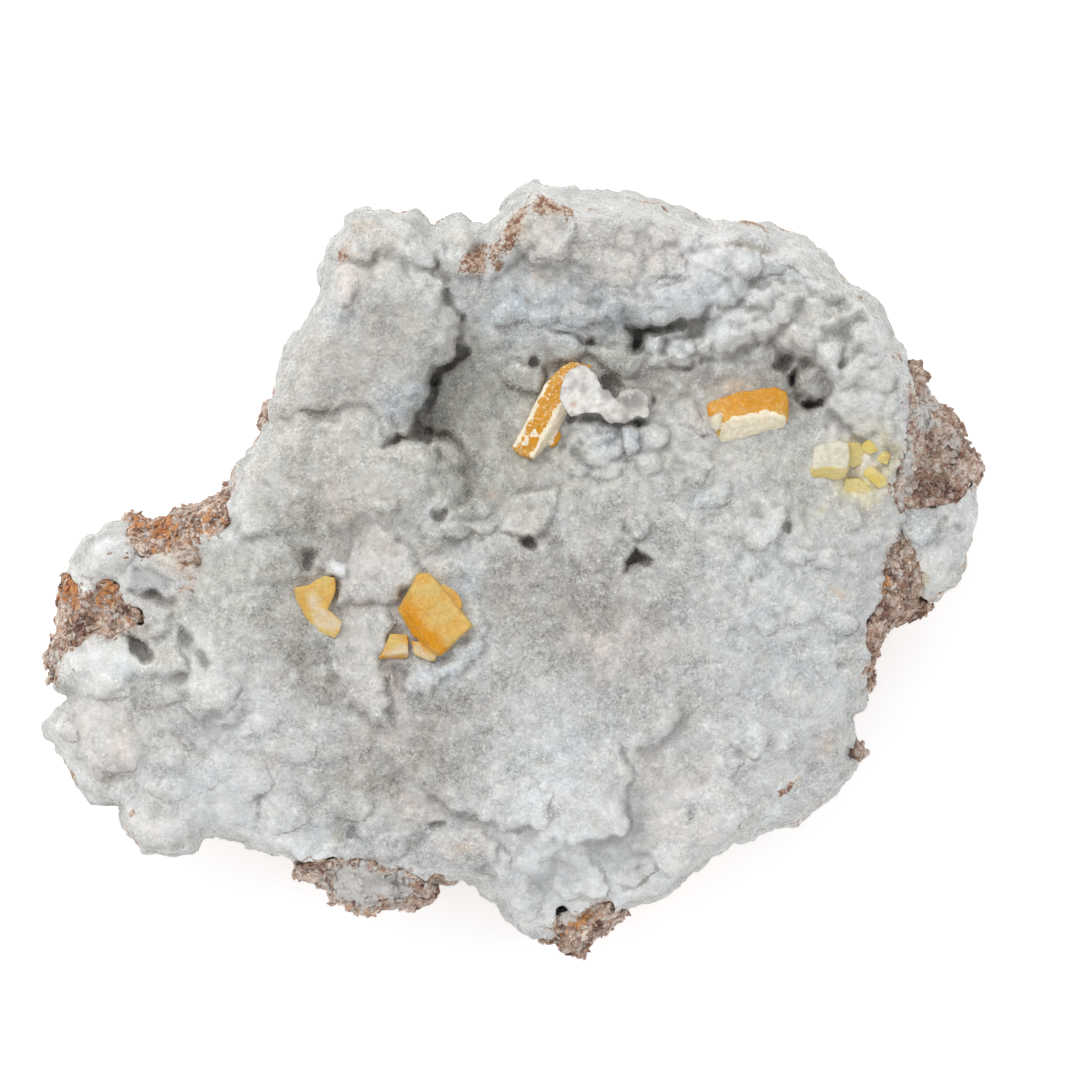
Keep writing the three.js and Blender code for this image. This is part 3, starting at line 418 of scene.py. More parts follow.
# Flat-sided pockets: outline, depth.
POCKETS = [
    ([(11.0, 24.4), (12.4, 24.9), (15.0, 24.5), (17.6, 24.6), (17.6, 23.9), (15.6, 23.7),
      (14.0, 23.5), (13.7, 22.4), (12.6, 21.6), (11.8, 22.4), (11.7, 23.4)], 3.4),
    ([(12.3, 2.5), (13.0, 1.7), (13.9, 1.3), (14.0, 0.4), (13.0, 0.0), (11.4, -0.4), (10.8, -0.7),
      (11.2, 0.4), (11.7, 1.5)], 2.8),
    ([(-39.0, -6.5), (-37.2, -7.0), (-35.8, -6.9), (-35.3, -7.9), (-35.5, -9.1), (-36.7, -9.0),
      (-38.0, -8.3)], 2.2),
    ([(-21.1, 1.9), (-18.7, 2.0), (-18.9, 0.3), (-20.3, 0.1)], 0.8),
    ([(-5.2, 12.6), (-2.6, 11.6), (-2.4, 7.7), (-3.9, 7.5), (-4.2, 9.8)], 0.3),
    ([(-12.5, -30.2), (-10.9, -29.8), (-9.4, -31.0), (-9.0, -33.0), (-12.2, -33.4)], 1.6),
    ([(23.0, 7.0), (25.2, 6.8), (25.3, 5.3), (23.0, 5.3)], 0.3),
]

# Where bare limonite shows, seen from above.
BARE = [
    [(-49, -0.3), (-45.0, -0.4), (-43.6, -1.1), (-42.5, -2.3), (-41.6, -3.0), (-41.1, -1.0),
     (-40.0, -0.7), (-39.6, -3.0), (-38.4, -3.6), (-36.8, -3.8), (-36.6, -5.0), (-38.0, -5.9),
     (-38.6, -6.6), (-40.4, -6.9), (-42.0, -6.4), (-43.0, -7.2), (-44.3, -7.2), (-44.5, -8.8),
     (-45.2, -9.6), (-45.4, -11.0), (-45.8, -12.0), (-49, -12.0)],
    [(-38.3, 7.5), (-38.1, 4.2), (-37.9, 2.0), (-36.6, 1.1), (-35.2, 1.4), (-34.6, 2.4),
     (-33.4, 1.9), (-32.7, 0.4), (-31.2, -0.1), (-30.5, 0.9), (-31.0, 2.0), (-31.6, 3.0),
     (-31.5, 4.6), (-30.6, 3.6), (-29.6, 3.4), (-28.4, 4.6), (-28.2, 6.0), (-28.6, 9.0),
     (-33.0, 10.0)],
    [(40.4, 24.0), (40.2, 20.0), (39.9, 17.0), (40.0, 14.0), (39.5, 11.0), (38.8, 9.0),
     (38.5, 7.0), (39.2, 5.6), (38.6, 3.0), (38.2, 1.4), (37.6, -0.6), (37.3, -2.6),
     (36.6, -4.6), (36.0, -6.6), (35.5, -8.6), (35.3, -10.6), (35.7, -12.6), (40, -12.6),
     (50, -6.0), (50, 24.0)],
    [(34.4, -17.4), (34.9, -17.0), (37, -18.6), (34.6, -19.6)],
    [(-25.0, -30.6), (-22.0, -29.6), (-20.0, -29.6), (-18.0, -29.3), (-15.2, -29.1),
     (-13.2, -28.8), (-12.6, -29.6), (-11.0, -29.7), (-9.4, -30.6), (-8.4, -31.6), (-7.6, -32.0),
     (-7.0, -37.0), (-25.0, -37.0)],
    [(1.6, -38.5), (2.4, -36.7), (4.2, -36.0), (4.6, -34.2), (5.2, -33.4), (5.8, -34.6),
     (7.0, -34.6), (8.0, -33.4), (9.2, -32.5), (10.1, -33.3), (10.2, -34.2), (13.0, -33.7),
     (18.0, -34.0), (12.0, -40.0)],
    [(-26.0, 17.6), (-24.2, 17.3), (-23.8, 16.2), (-23.9, 14.8), (-26.0, 14.2)],
]
# Calcite that lies on the limonite, low on the right flank.
FLANK_CALCITE = [
    (39.3, 5.7), (42.0, 6.0), (44.4, 6.6), (46.0, 8.4), (48.5, 8.4), (48.0, -1.0), (44.0, -3.6),
    (41.6, -3.4), (40.9, -2.4), (40.6, -0.4), (40.2, 1.6), (39.6, 3.4),
]

# Lumps of the crust that meet in sharp creases: size, rise, seed.
BILLOWS = [(4.2, 0.09, 60), (2.4, 0.09, 61), (1.4, 0.12, 62), (0.8, 0.15, 63)]


def round_caps(count, sizes, seed, where):
    """A map of random round caps, each as high as wide, whose creases stay sharp."""
    rng = np.random.default_rng(seed)
    out = np.zeros(GX.shape)
    rows, columns = GX.shape
    for _ in range(count):
        row, column = rng.integers(rows), rng.integers(columns)
        radius = rng.uniform(*sizes)
        stretch, turn, chance = rng.uniform(0.75, 1.0), rng.uniform(0, 180), rng.random()
        if chance > where[row, column]:
            continue
        reach = int(radius / STEP) + 1
        part = np.s_[max(row - reach, 0): row + reach + 1, max(column - reach, 0): column + reach + 1]
        spot = turned(GX[row, column], GY[row, column], radius, radius * stretch, turn,
                      (GX[part], GY[part]))
        out[part] = np.maximum(out[part], radius * np.sqrt(np.clip(1 - spot, 0, None)))
    return out


def base_level():
    """A smooth surface through LEVELS."""
    total, weights = np.zeros(GX.shape), np.full(GX.shape, 1e-12)
    for x, y, level in LEVELS:
        weight = np.exp(-((BENT[0] - x) ** 2 + (BENT[1] - y) ** 2) / (2 * LEVEL_REACH ** 2))
        total += weight * level
        weights += weight
    return total / weights


def merged(first, second, reach):
    """The higher of two surfaces, with the crease between them filled."""
    share = np.clip(0.5 + 0.5 * (first - second) / reach, 0, 1)
    return second + (first - second) * share + reach * share * (1 - share)


def lobe_distance():
    """Distance in from the edges of the lobes and bumps, negative outside them."""
    field = np.full(GX.shape, -9.0)
    for outline, _, _ in LOBES:
        field = np.maximum(field, inside_distance(outline, RAGGED))
    for x, y, rx, ry, turn, _ in BUMPS:
        inward = min(rx, ry) * (1 - np.sqrt(turned(x, y, rx, ry, turn, BENT)))
        field = np.maximum(field, inward)
    return field


def with_blocks(z):
    """The face with BLOCKS standing out of it."""
    size, rise, seed = BLOCK_SWELL
    swell = rise * spread_noise(size, seed)
    for outline, top, radius, height, slope in BLOCKS:
        inward = inside_distance(outline, RAGGED)
        cx, cy = np.mean(outline, axis=0)
        block = top + slope[0] * (GX - cx) + slope[1] * (GY - cy) + swell
        block -= height * (1 - shoulder(inward, radius))
        z = np.where(inward > 0, merged(z, block, CREASE_FILL), z)
    return z


def with_seats(z):
    """The face drawn to the level of each of SEATS, flat in its middle."""
    for x, y, rx, ry, turn, level in SEATS:
        share = SEAT_HOLD * np.clip(2.2 * soft_spot(x, y, rx * 1.2, ry * 1.2, turn), 0, 1)
        z += share * (level - z)
    return z


def with_lumps(z, coarse, smooth):
    """The face with LOBES, which stand out most at their lower right, and round BUMPS."""
    for outline, rise, radius in LOBES:
        cx, cy = np.mean(outline, axis=0)
        half = 0.25 * np.ptp(outline, axis=0).sum()
        across = LOWER_RIGHT[0] * (GX - cx) + LOWER_RIGHT[1] * (GY - cy)
        tilt = np.clip(0.7 + 0.4 * across / half, 0.2, 1.1)
        z += rise * tilt * shoulder(inside_distance(outline, RAGGED), radius)
    for x, y, rx, ry, turn, rise in BUMPS:
        dome = np.clip(1 - turned(x, y, rx, ry, turn, BENT), 0, None) ** (0.5 + smooth)
        z += (BUMP_GAIN + COARSE_GAIN * coarse) * rise * dome
    return z


def with_holes(z):
    """The face with POCKETS, PITS and CREVICES dug out of it."""
    for outline, depth in POCKETS:
        z -= depth * shoulder(inside_distance(outline, BENT), POCKET_EDGE)
    for x, y, rx, ry, turn, depth in PITS:
        z -= depth * np.clip(3.0 * soft_spot(x, y, rx * 1.3, ry * 1.3, turn, RAGGED) - 1.0, 0, 1)
    for points, width, depth in CREVICES:
        z -= depth * np.exp(-((line_distance(points, BENT) / width) ** 3))
    return z


def relief(edge, bare, coarse, smooth):
    """Height of the display face. edge is the distance in from the outline, bare the limonite."""
    z = base_level()
    for size, rise, seed in SWELLS:
        z = z + rise * spread_noise(size, seed)
    z = blurred(with_seats(with_blocks(z)), FIRST_BLUR)
    z = with_lumps(z, coarse, smooth)
    z += SMOOTHING * smooth * (blurred(z, SMOOTHING_REACH) - z)
    z += CAP_RISE * coarse * round_caps(CAPS, CAP_RADII, 20, 0.3 + 0.7 * coarse)
    for size, rise, seed in BILLOWS:
        z += rise * (0.6 + 0.5 * coarse) * (1 - 0.6 * smooth) * np.abs(spread_noise(size, seed))
    z = z - bare * (0.4 + 0.3 * spread_noise(2.0, 22) + 0.3 * spread_noise(0.9, 23))
    z = with_holes(z)
    rim = np.clip(RIM_ROUND + spread_noise(7, 25), *RIM_LIMITS)
    return LIP + (z - LIP) * shoulder(edge + RIM_START, rim)


# ---- Meshes -----------------------------------------------------------------------------------

def mesh_object(name, vertices, faces, smooth=True):
    """A new object from vertices in millimetres."""
    mesh = bpy.data.meshes.new(name)
    mesh.from_pydata(np.asarray(vertices) * MM, [], faces)
    mesh.update()
    if smooth:
        mesh.shade_smooth()
    piece = bpy.data.objects.new(name, mesh)
    bpy.context.scene.collection.objects.link(piece)
    return piece


def solid_between(name, mask, low, high):
    """A closed solid between two height maps, over the nodes of mask."""
    cells = mask[:-1, :-1] & mask[1:, :-1] & mask[:-1, 1:] & mask[1:, 1:]
    used = np.zeros(mask.shape, bool)
    for dr in (0, 1):
        for dc in (0, 1):
            used[dr: dr + cells.shape[0], dc: dc + cells.shape[1]] |= cells
    number = np.full(mask.shape, -1)
    number[used] = np.arange(used.sum())
    count = int(used.sum())
    x, y = GX[used], GY[used]
    top = np.stack([x, y, high[used]], 1)
    bottom = np.stack([x, y, low[used]], 1)
    rows, columns = np.nonzero(cells)
    a, b = number[rows, columns], number[rows, columns + 1]
    c, d = number[rows + 1, columns + 1], number[rows + 1, columns]
    upper = np.stack([a, b, c, d], 1)
    lower = np.stack([d, c, b, a], 1) + count
    padded = np.pad(cells, 1)
    walls = []
    for dr, dc, first, second in ((-1, 0, a, b), (1, 0, c, d), (0, -1, d, a), (0, 1, b, c)):
        open_side = ~padded[rows + 1 + dr, columns + 1 + dc]
        p, q = first[open_side], second[open_side]
        walls.append(np.stack([q, p, p + count, q + count], 1))
    faces = np.concatenate([upper, lower, *walls])
    return mesh_object(name, np.concatenate([top, bottom]), faces.tolist())


def applied(piece):
    """Replaces a piece's mesh by what its modifiers make of it."""
    graph = bpy.context.evaluated_depsgraph_get()
    mesh = bpy.data.meshes.new_from_object(piece.evaluated_get(graph))
    piece.modifiers.clear()
    piece.data = mesh
    return piece


def remeshed(piece, voxel, flatten=0.0):
    """Even quads all over. Faces that lie within the angle flatten of each other are merged."""
    remesh = piece.modifiers.new("remesh", "REMESH")
    remesh.mode = "VOXEL"
    remesh.voxel_size = voxel * MM
    remesh.use_smooth_shade = True
    if flatten:
        planar = piece.modifiers.new("planar", "DECIMATE")
        planar.decimate_type = "DISSOLVE"
        planar.angle_limit = math.radians(flatten)
    return applied(piece)


def thinned(piece, most):
    """Merges triangles where the surface is flattest until at most that many are left."""
    count = sum(len(face.vertices) - 2 for face in piece.data.polygons)
    if count > most:
        collapse = piece.modifiers.new("thinned", "DECIMATE")
        collapse.ratio = most / count
        applied(piece)
    return piece


def vertex_array(mesh):
    flat = np.empty(len(mesh.vertices) * 3, np.float32)
    mesh.vertices.foreach_get("co", flat)
    return flat.reshape(-1, 3).astype(float) / MM


def normal_array(mesh):
    flat = np.empty(len(mesh.vertices) * 3, np.float32)
    mesh.vertex_normals.foreach_get("vector", flat)
    return flat.reshape(-1, 3).astype(float)


def set_vertices(mesh, places):
    mesh.vertices.foreach_set("co", (places * MM).astype(np.float32).ravel())
    mesh.update()


def sampled(field, places):
    """Values of a map at places, between its nodes too."""
    column = np.clip((places[:, 0] - GX[0, 0]) / STEP, 0, GX.shape[1] - 1.001)
    row = np.clip((places[:, 1] - GY[0, 0]) / STEP, 0, GX.shape[0] - 1.001)
    c, r = column.astype(int), row.astype(int)
    u, v = column - c, row - r
    low = field[r, c] * (1 - u) + field[r, c + 1] * u
    high = field[r + 1, c] * (1 - u) + field[r + 1, c + 1] * u
    return low * (1 - v) + high * v


def lattice_noise(places, size, seed):
    """Smooth noise in space, from about -1 to 1, with lumps about size across."""
    p = places / size
    cell = np.floor(p).astype(np.int64)
    f = p - cell
    f = f * f * (3 - 2 * f)
    total = np.zeros(len(p))
    for corner in range(8):
        offset = np.array([corner & 1, corner >> 1 & 1, corner >> 2 & 1])
        key = (cell + offset) @ np.array([73856093, 19349663, 83492791]) + seed * 2654435761
        key = (key ^ (key >> 13)) * 1274126177
        value = ((key ^ (key >> 16)) & 0xFFFF) / 32767.5 - 1
        weight = np.prod(np.where(offset, f, 1 - f), axis=1)
        total += weight * value
    return total


def roughened(piece, layers, sides_only=0.0):
    """Moves a piece's surface in and out by noise. layers lists (size, amount, seed)."""
    places, normals = vertex_array(piece.data), normal_array(piece.data)
    amount = sum(a * lattice_noise(places, size, seed) for size, a, seed in layers)
    upward = np.clip(normals[:, 2], 0, 1)
    amount *= 1 - sides_only * upward
    set_vertices(piece.data, places + normals * amount[:, None])
    return piece


def put(piece, key, values):
    """Stores one number per vertex, or over those stored before, for the materials."""
    held = piece.data.attributes
    attribute = held.get(key) or held.new(key, "FLOAT", "POINT")
    attribute.data.foreach_set("value", np.asarray(values, np.float32))


def put_colour(piece, key, colours):
    held = piece.data.attributes
    attribute = held.get(key) or held.new(key, "FLOAT_COLOR", "POINT")
    filled = np.concatenate([colours, np.ones((len(colours), 1))], 1)
    attribute.data.foreach_set("color", filled.astype(np.float32).ravel())


# ---- Materials --------------------------------------------------------------------------------

class Nodes:
    """A small helper that adds and links shader nodes."""

    def __init__(self, name):
        self.material = bpy.data.materials.new(name)
        self.material.use_nodes = True
        self.tree = self.material.node_tree
        self.shader = self.tree.nodes["Principled BSDF"]
        self.place = self.add("ShaderNodeTexCoord").outputs["Object"]

    def add(self, kind, **settings):
        node = self.tree.nodes.new(kind)
        for key, value in settings.items():
            setattr(node, key, value)
        return node

    def link(self, source, socket):
        if isinstance(source, (int, float, tuple)):
            socket.default_value = source
        else:
            self.tree.links.new(source, socket)

    def attribute(self, key):
        return self.add("ShaderNodeAttribute", attribute_name=key).outputs["Fac"]

    def colour(self, key):
        return self.add("ShaderNodeAttribute", attribute_name=key).outputs["Color"]

    def noise(self, size, detail=3.0, rough=0.55, twist=0.0):
        node = self.add("ShaderNodeTexNoise")
        node.inputs["Distortion"].default_value = twist
        node.inputs["Scale"].default_value = 1 / (size * MM)
        node.inputs["Detail"].default_value = detail
        node.inputs["Roughness"].default_value = rough
        self.link(self.place, node.inputs["Vector"])
        return node.outputs["Fac"]

    def billow(self, size):
        """Noise folded over, so that round lumps meet in sharp creases."""
        return self.math("ABSOLUTE", self.math("SUBTRACT", self.noise(size, 2, 0.5), 0.5))

    def cells(self, size, output="Distance"):
        node = self.add("ShaderNodeTexVoronoi")
        node.inputs["Scale"].default_value = 1 / (size * MM)
        self.link(self.place, node.inputs["Vector"])
        return node.outputs[output]

    def grey(self, value):
        node = self.add("ShaderNodeCombineColor")
        for i in range(3):
            self.link(value, node.inputs[i])
        return node.outputs[0]

    def mix(self, share, first, second, blend="MIX"):
        node = self.add("ShaderNodeMix", data_type="RGBA", blend_type=blend)
        self.link(share, node.inputs[0])
        for socket, value in ((node.inputs[6], first), (node.inputs[7], second)):
            self.link(value if not isinstance(value, tuple) else (*value[:3], 1.0), socket)
        return node.outputs[2]

    def range(self, value, low, high, to_low=0.0, to_high=1.0):
        node = self.add("ShaderNodeMapRange", interpolation_type="SMOOTHSTEP")
        self.link(value, node.inputs[0])
        for i, number in enumerate((low, high, to_low, to_high)):
            node.inputs[i + 1].default_value = number
        return node.outputs[0]

    def times(self, first, second):
        return self.math("MULTIPLY", first, second)

    def plus(self, first, second):
        return self.math("ADD", first, second)

    def shaded(self, colour, factor):
        """A colour made darker or lighter by a number."""
        return self.mix(1.0, colour, self.grey(factor), blend="MULTIPLY")

    def math(self, operation, first, second=0.0):
        node = self.add("ShaderNodeMath", operation=operation)
        self.link(first, node.inputs[0])
        self.link(second, node.inputs[1])
        return node.outputs[0]

    def bump(self, height, distance, strength=1.0, normal=None):
        node = self.add("ShaderNodeBump")
        self.link(strength, node.inputs["Strength"])
        node.inputs["Distance"].default_value = distance * MM
        self.link(height, node.inputs["Height"])
        if normal is not None:
            self.link(normal, node.inputs["Normal"])
        return node.outputs["Normal"]

    def set(self, **values):
        for key, value in values.items():
            self.link(value, self.shader.inputs[key.replace("_", " ")])


def mottled(n):
    """The crust's tint with warm, greenish and cool patches, and painted brown shade in the hollows."""
    warm_tint, lime_tint, cool_tint = (0.66, 0.585, 0.545), (0.67, 0.65, 0.565), (0.58, 0.605, 0.63)
    hollow_shade_tint = (0.36, 0.30, 0.26)
    colour = n.shaded(n.colour("tint"), n.range(n.noise(1.8, 6, 0.65), 0.3, 0.7, 0.92, 1.08))
    colour = n.mix(n.range(n.noise(3.1, 5, 0.6), 0.50, 0.66, 0.0, 0.32), colour, warm_tint)
    colour = n.mix(n.range(n.noise(2.6, 5, 0.6), 0.46, 0.64, 0.0, 0.33), colour, lime_tint)
    colour = n.mix(n.range(n.noise(2.3, 5, 0.6), 0.52, 0.68, 0.0, 0.36), colour, cool_tint)
    # Painted shade: the hollows drawn towards a dark brown.
    return n.mix(n.times(n.attribute("hollow_shade"), 0.45), colour, hollow_shade_tint)


def sugary(n, colour, amount):
    """Small crystals side by side, with dark specks between them, painted shade along their borders and
    in fine creases, and painted glints.
    """
    speck_tint, glint_tint = (0.36, 0.33, 0.29), (0.95, 0.96, 0.97)
    grit = n.range(n.noise(0.45, 4, 0.75, 1.4), 0.34, 0.66, 0.58, 1.26)
    # Painted shade along the borders between the small crystals.
    border_shade = n.range(n.cells(0.45), 0.30, 0.70, 1.05, 0.84)
    colour = n.mix(amount, colour, n.shaded(colour, n.times(grit, border_shade)))
    speck = n.range(n.noise(0.35, 3, 0.6), 0.58, 0.70)
    colour = n.mix(n.times(speck, n.times(amount, 0.45)), colour, speck_tint)
    # Painted glints: a few cells turned near white.
    glint = n.range(n.cells(0.24, "Color"), 0.90, 0.92)
    colour = n.mix(n.times(glint, 0.3), colour, glint_tint)
    # Painted shade in fine creases.
    crease = n.range(n.billow(1.3), 0.0, 0.03, 0.80, 1.0)
    return n.mix(amount, colour, n.shaded(colour, crease))


def shadow_outlined(n, colour):
    """A painted shadow: a thin dark line outside the edge of each lobe, strongest on its lower right, the
    side away from the light.
    """
    shadow_line_tint = (0.27, 0.23, 0.20)
    ragged = n.plus(n.attribute("lobe"), n.range(n.noise(0.5, 3), 0.3, 0.7, 0.0, 0.3))
    line = n.range(n.math("ABSOLUTE", ragged), 0.05, 0.20, 1.0, 0.0)
    line = n.times(line, n.attribute("lobe_shadow_share"))
    return n.mix(n.times(line, 0.75), colour, shadow_line_tint)


def rusted(n, colour):
    """Rusty specks that cover about the share of the surface that the stain gives."""
    dark_rust, light_rust = (0.24, 0.11, 0.06), (0.60, 0.46, 0.36)
    rust = n.mix(n.range(n.noise(0.7, 4, 0.6), 0.42, 0.60), dark_rust, light_rust)
    over = n.plus(n.noise(0.55, 5, 0.7), n.times(n.attribute("stain"), 0.42))
    return n.mix(n.range(over, 0.70, 0.78), colour, rust)


def calcite_material():
    n = Nodes("calcite")
    patches = n.range(n.noise(2.4, 3), 0.35, 0.65, 0.35, 1.3)
    amount = n.plus(n.times(n.attribute("grain"), patches), 0.12)
    colour = sugary(n, mottled(n), amount)
    # Painted shade in the creases and painted highlight on the ridges.
    colour = n.shaded(colour, n.attribute("cavity_shading"))
    colour = rusted(n, shadow_outlined(n, colour))
    n.set(Base_Color=colour, Roughness=n.range(n.noise(0.5, 2), 0.3, 0.7, 0.42, 0.75))
    n.set(Specular_IOR_Level=0.4)
    n.set(Subsurface_Weight=0.25, Subsurface_Scale=0.0003, Subsurface_Radius=(1.0, 0.9, 0.8))
    strength = n.range(amount, 0.0, 1.0, 0.25, 1.0)
    fine = n.bump(n.billow(0.9), 0.4, 0.8)
    fine = n.bump(n.times(n.cells(0.42), -1.0), 0.12, strength, fine)
    n.set(Normal=n.bump(n.noise(0.24, 4, 0.75), 0.2, strength, fine))
    return n.material


def grain_material():
    """The small crystals on the crust, each of its own shade."""
    hollow_shade_tint, rust = (0.32, 0.285, 0.25), (0.42, 0.24, 0.14)
    n = Nodes("calcite_druse")
    stain, hollow_shade, own = n.attribute("stain"), n.attribute("hollow_shade"), n.attribute("own")
    shade = n.range(own, 0.0, 1.0, 0.84, 1.06)
    colour = n.shaded(n.colour("tint"), shade)
    # Painted shade in the hollows, as on the crust.
    colour = n.mix(n.times(hollow_shade, 0.6), colour, hollow_shade_tint)
    colour = n.mix(n.range(stain, 0.45, 0.7), colour, rust)
    n.set(Base_Color=colour, Roughness=n.range(own, 0.0, 1.0, 0.65, 0.3))
    n.set(Specular_IOR_Level=0.45)
    return n.material


def limonite_material():
    """The rock and its crumbs: dark, brown and tan, with orange ochre and pale crusts."""
    dark, brown, tan = (0.17, 0.09, 0.07), (0.58, 0.38, 0.28), (0.92, 0.80, 0.69)
    light_crumb, dark_crumb = (0.66, 0.56, 0.48), (0.34, 0.17, 0.11)
    dark_ochre, light_ochre = (0.48, 0.16, 0.06), (0.72, 0.34, 0.13)
    grey_chalk, light_chalk = (0.58, 0.545, 0.51), (0.84, 0.80, 0.76)
    n = Nodes("limonite")
    own = n.attribute("own")
    broad = n.times(n.math("SUBTRACT", n.noise(3.2, 3), 0.5), 0.5)
    colour = n.mix(n.range(n.plus(n.noise(1.1, 6, 0.75), broad), 0.38, 0.54), dark, brown)
    colour = n.mix(n.range(n.plus(n.noise(0.7, 5, 0.7, 1.0), broad), 0.50, 0.60), colour, tan)
    colour = n.mix(n.range(own, 0.6, 1.0, 0.0, 0.8), colour, light_crumb)
    colour = n.mix(n.range(own, 0.4, 0.0, 0.0, 0.7), colour, dark_crumb)
    ochre = n.mix(n.range(n.noise(0.8, 3), 0.4, 0.6), dark_ochre, light_ochre)
    over = n.plus(n.noise(0.8, 5, 0.7), n.times(n.attribute("orange"), 0.32))
    colour = n.mix(n.range(over, 0.64, 0.74), colour, ochre)
    chalk = n.mix(n.noise(0.8, 4), grey_chalk, light_chalk)
    over = n.plus(n.noise(0.9, 6, 0.7), n.times(n.attribute("pale"), 0.36))
    colour = n.mix(n.range(over, 0.62, 0.72), colour, chalk)
    n.set(Base_Color=colour, Roughness=n.range(n.noise(0.7, 3), 0.3, 0.7, 0.6, 0.95))
    n.set(Specular_IOR_Level=0.35)
    coarse = n.bump(n.noise(1.0, 6, 0.75), 0.7, 0.8)
    n.set(Normal=n.bump(n.cells(0.4), 0.2, -0.6, coarse))
    return n.material


def wulfenite_material(name, light, deep_colour, film):
    """A crystal whose colour runs from light to deep, with specks, frost and patches of film."""
    speck_tint, frost_tint = (0.90, 0.70, 0.46), (0.72, 0.60, 0.44)
    n = Nodes(name)
    veil = n.range(n.noise(2.0, 5, 0.65), 0.36, 0.64, 0.0, 0.5)
    colour = n.mix(veil, light, deep_colour)
    colour = n.mix(n.attribute("deep"), colour, deep_colour)
    bright = n.range(n.noise(1.1, 5, 0.7, 0.8), 0.50, 0.68, 0.0, 0.3)
    colour = n.mix(bright, colour, tuple(min(1.25 * c, 1.0) for c in light))
    speck = n.range(n.noise(0.3, 3), 0.54, 0.62)
    speck = n.times(speck, n.range(n.noise(2.2, 2), 0.40, 0.60, 0.3, 0.85))
    speck = n.times(speck, n.attribute("speckle"))
    colour = n.mix(speck, colour, speck_tint)
    streak = n.range(n.noise(0.8, 4, 0.7, 2.0), 0.35, 0.65, 0.88, 1.07)
    colour = n.shaded(colour, streak)
    clouds = n.range(n.noise(0.7, 4, 0.7), 0.3, 0.6, 0.3, 0.9)
    colour = n.mix(n.times(n.attribute("frost"), clouds), colour, frost_tint)
    thin_film = tuple(0.84 * c for c in film)
    film_colour = n.mix(n.range(n.noise(0.5, 4), 0.4, 0.6), film, thin_film)
    ragged = n.plus(n.attribute("cream"), n.range(n.noise(0.4, 4), 0.3, 0.7, -0.35, 0.35))
    colour = n.mix(n.range(ragged, 0.4, 0.6), colour, film_colour)
    n.set(Base_Color=colour, Roughness=n.range(n.noise(0.6, 3), 0.3, 0.7, 0.3, 0.55))
    n.set(Subsurface_Weight=0.2, Subsurface_Scale=0.0008, Subsurface_Radius=(1.0, 0.55, 0.15))
    n.set(Specular_IOR_Level=0.25, Coat_Weight=0.04)
    pitted = n.bump(n.noise(0.9, 3), 0.3, 0.4)
    n.set(Normal=n.bump(n.noise(0.25, 4), 0.12, 0.5, pitted))
    return n.material


# ---- The specimen -----------------------------------------------------------------------------

# Colours of the crust, and the spots that they tint: colour, x, y, half length, half width, turn,
# strength. Later spots lie over earlier ones.
CALCITE = (0.665, 0.65, 0.62)
# The tint shade is painted shade for crevices, caves and pockets. The dull tint is both the druse's own
# dull brownish grey and painted shade.
TINTS = {
    "cream": (0.69, 0.645, 0.57), "pink": (0.70, 0.62, 0.575), "cool": (0.60, 0.63, 0.655),
    "dull_and_shade": (0.45, 0.41, 0.36), "moss": (0.57, 0.555, 0.485), "lavender": (0.56, 0.54, 0.55),
    "white": (0.80, 0.81, 0.80), "yellow": (0.64, 0.54, 0.25), "tan": (0.66, 0.54, 0.42),
    "shade": (0.27, 0.25, 0.225), "blade": (0.625, 0.582, 0.552),
    "putty": (0.54, 0.505, 0.46), "olive": (0.56, 0.545, 0.485), "haze": (0.56, 0.53, 0.515),
    "milk": (0.745, 0.74, 0.735), "honey": (0.80, 0.70, 0.46),
}
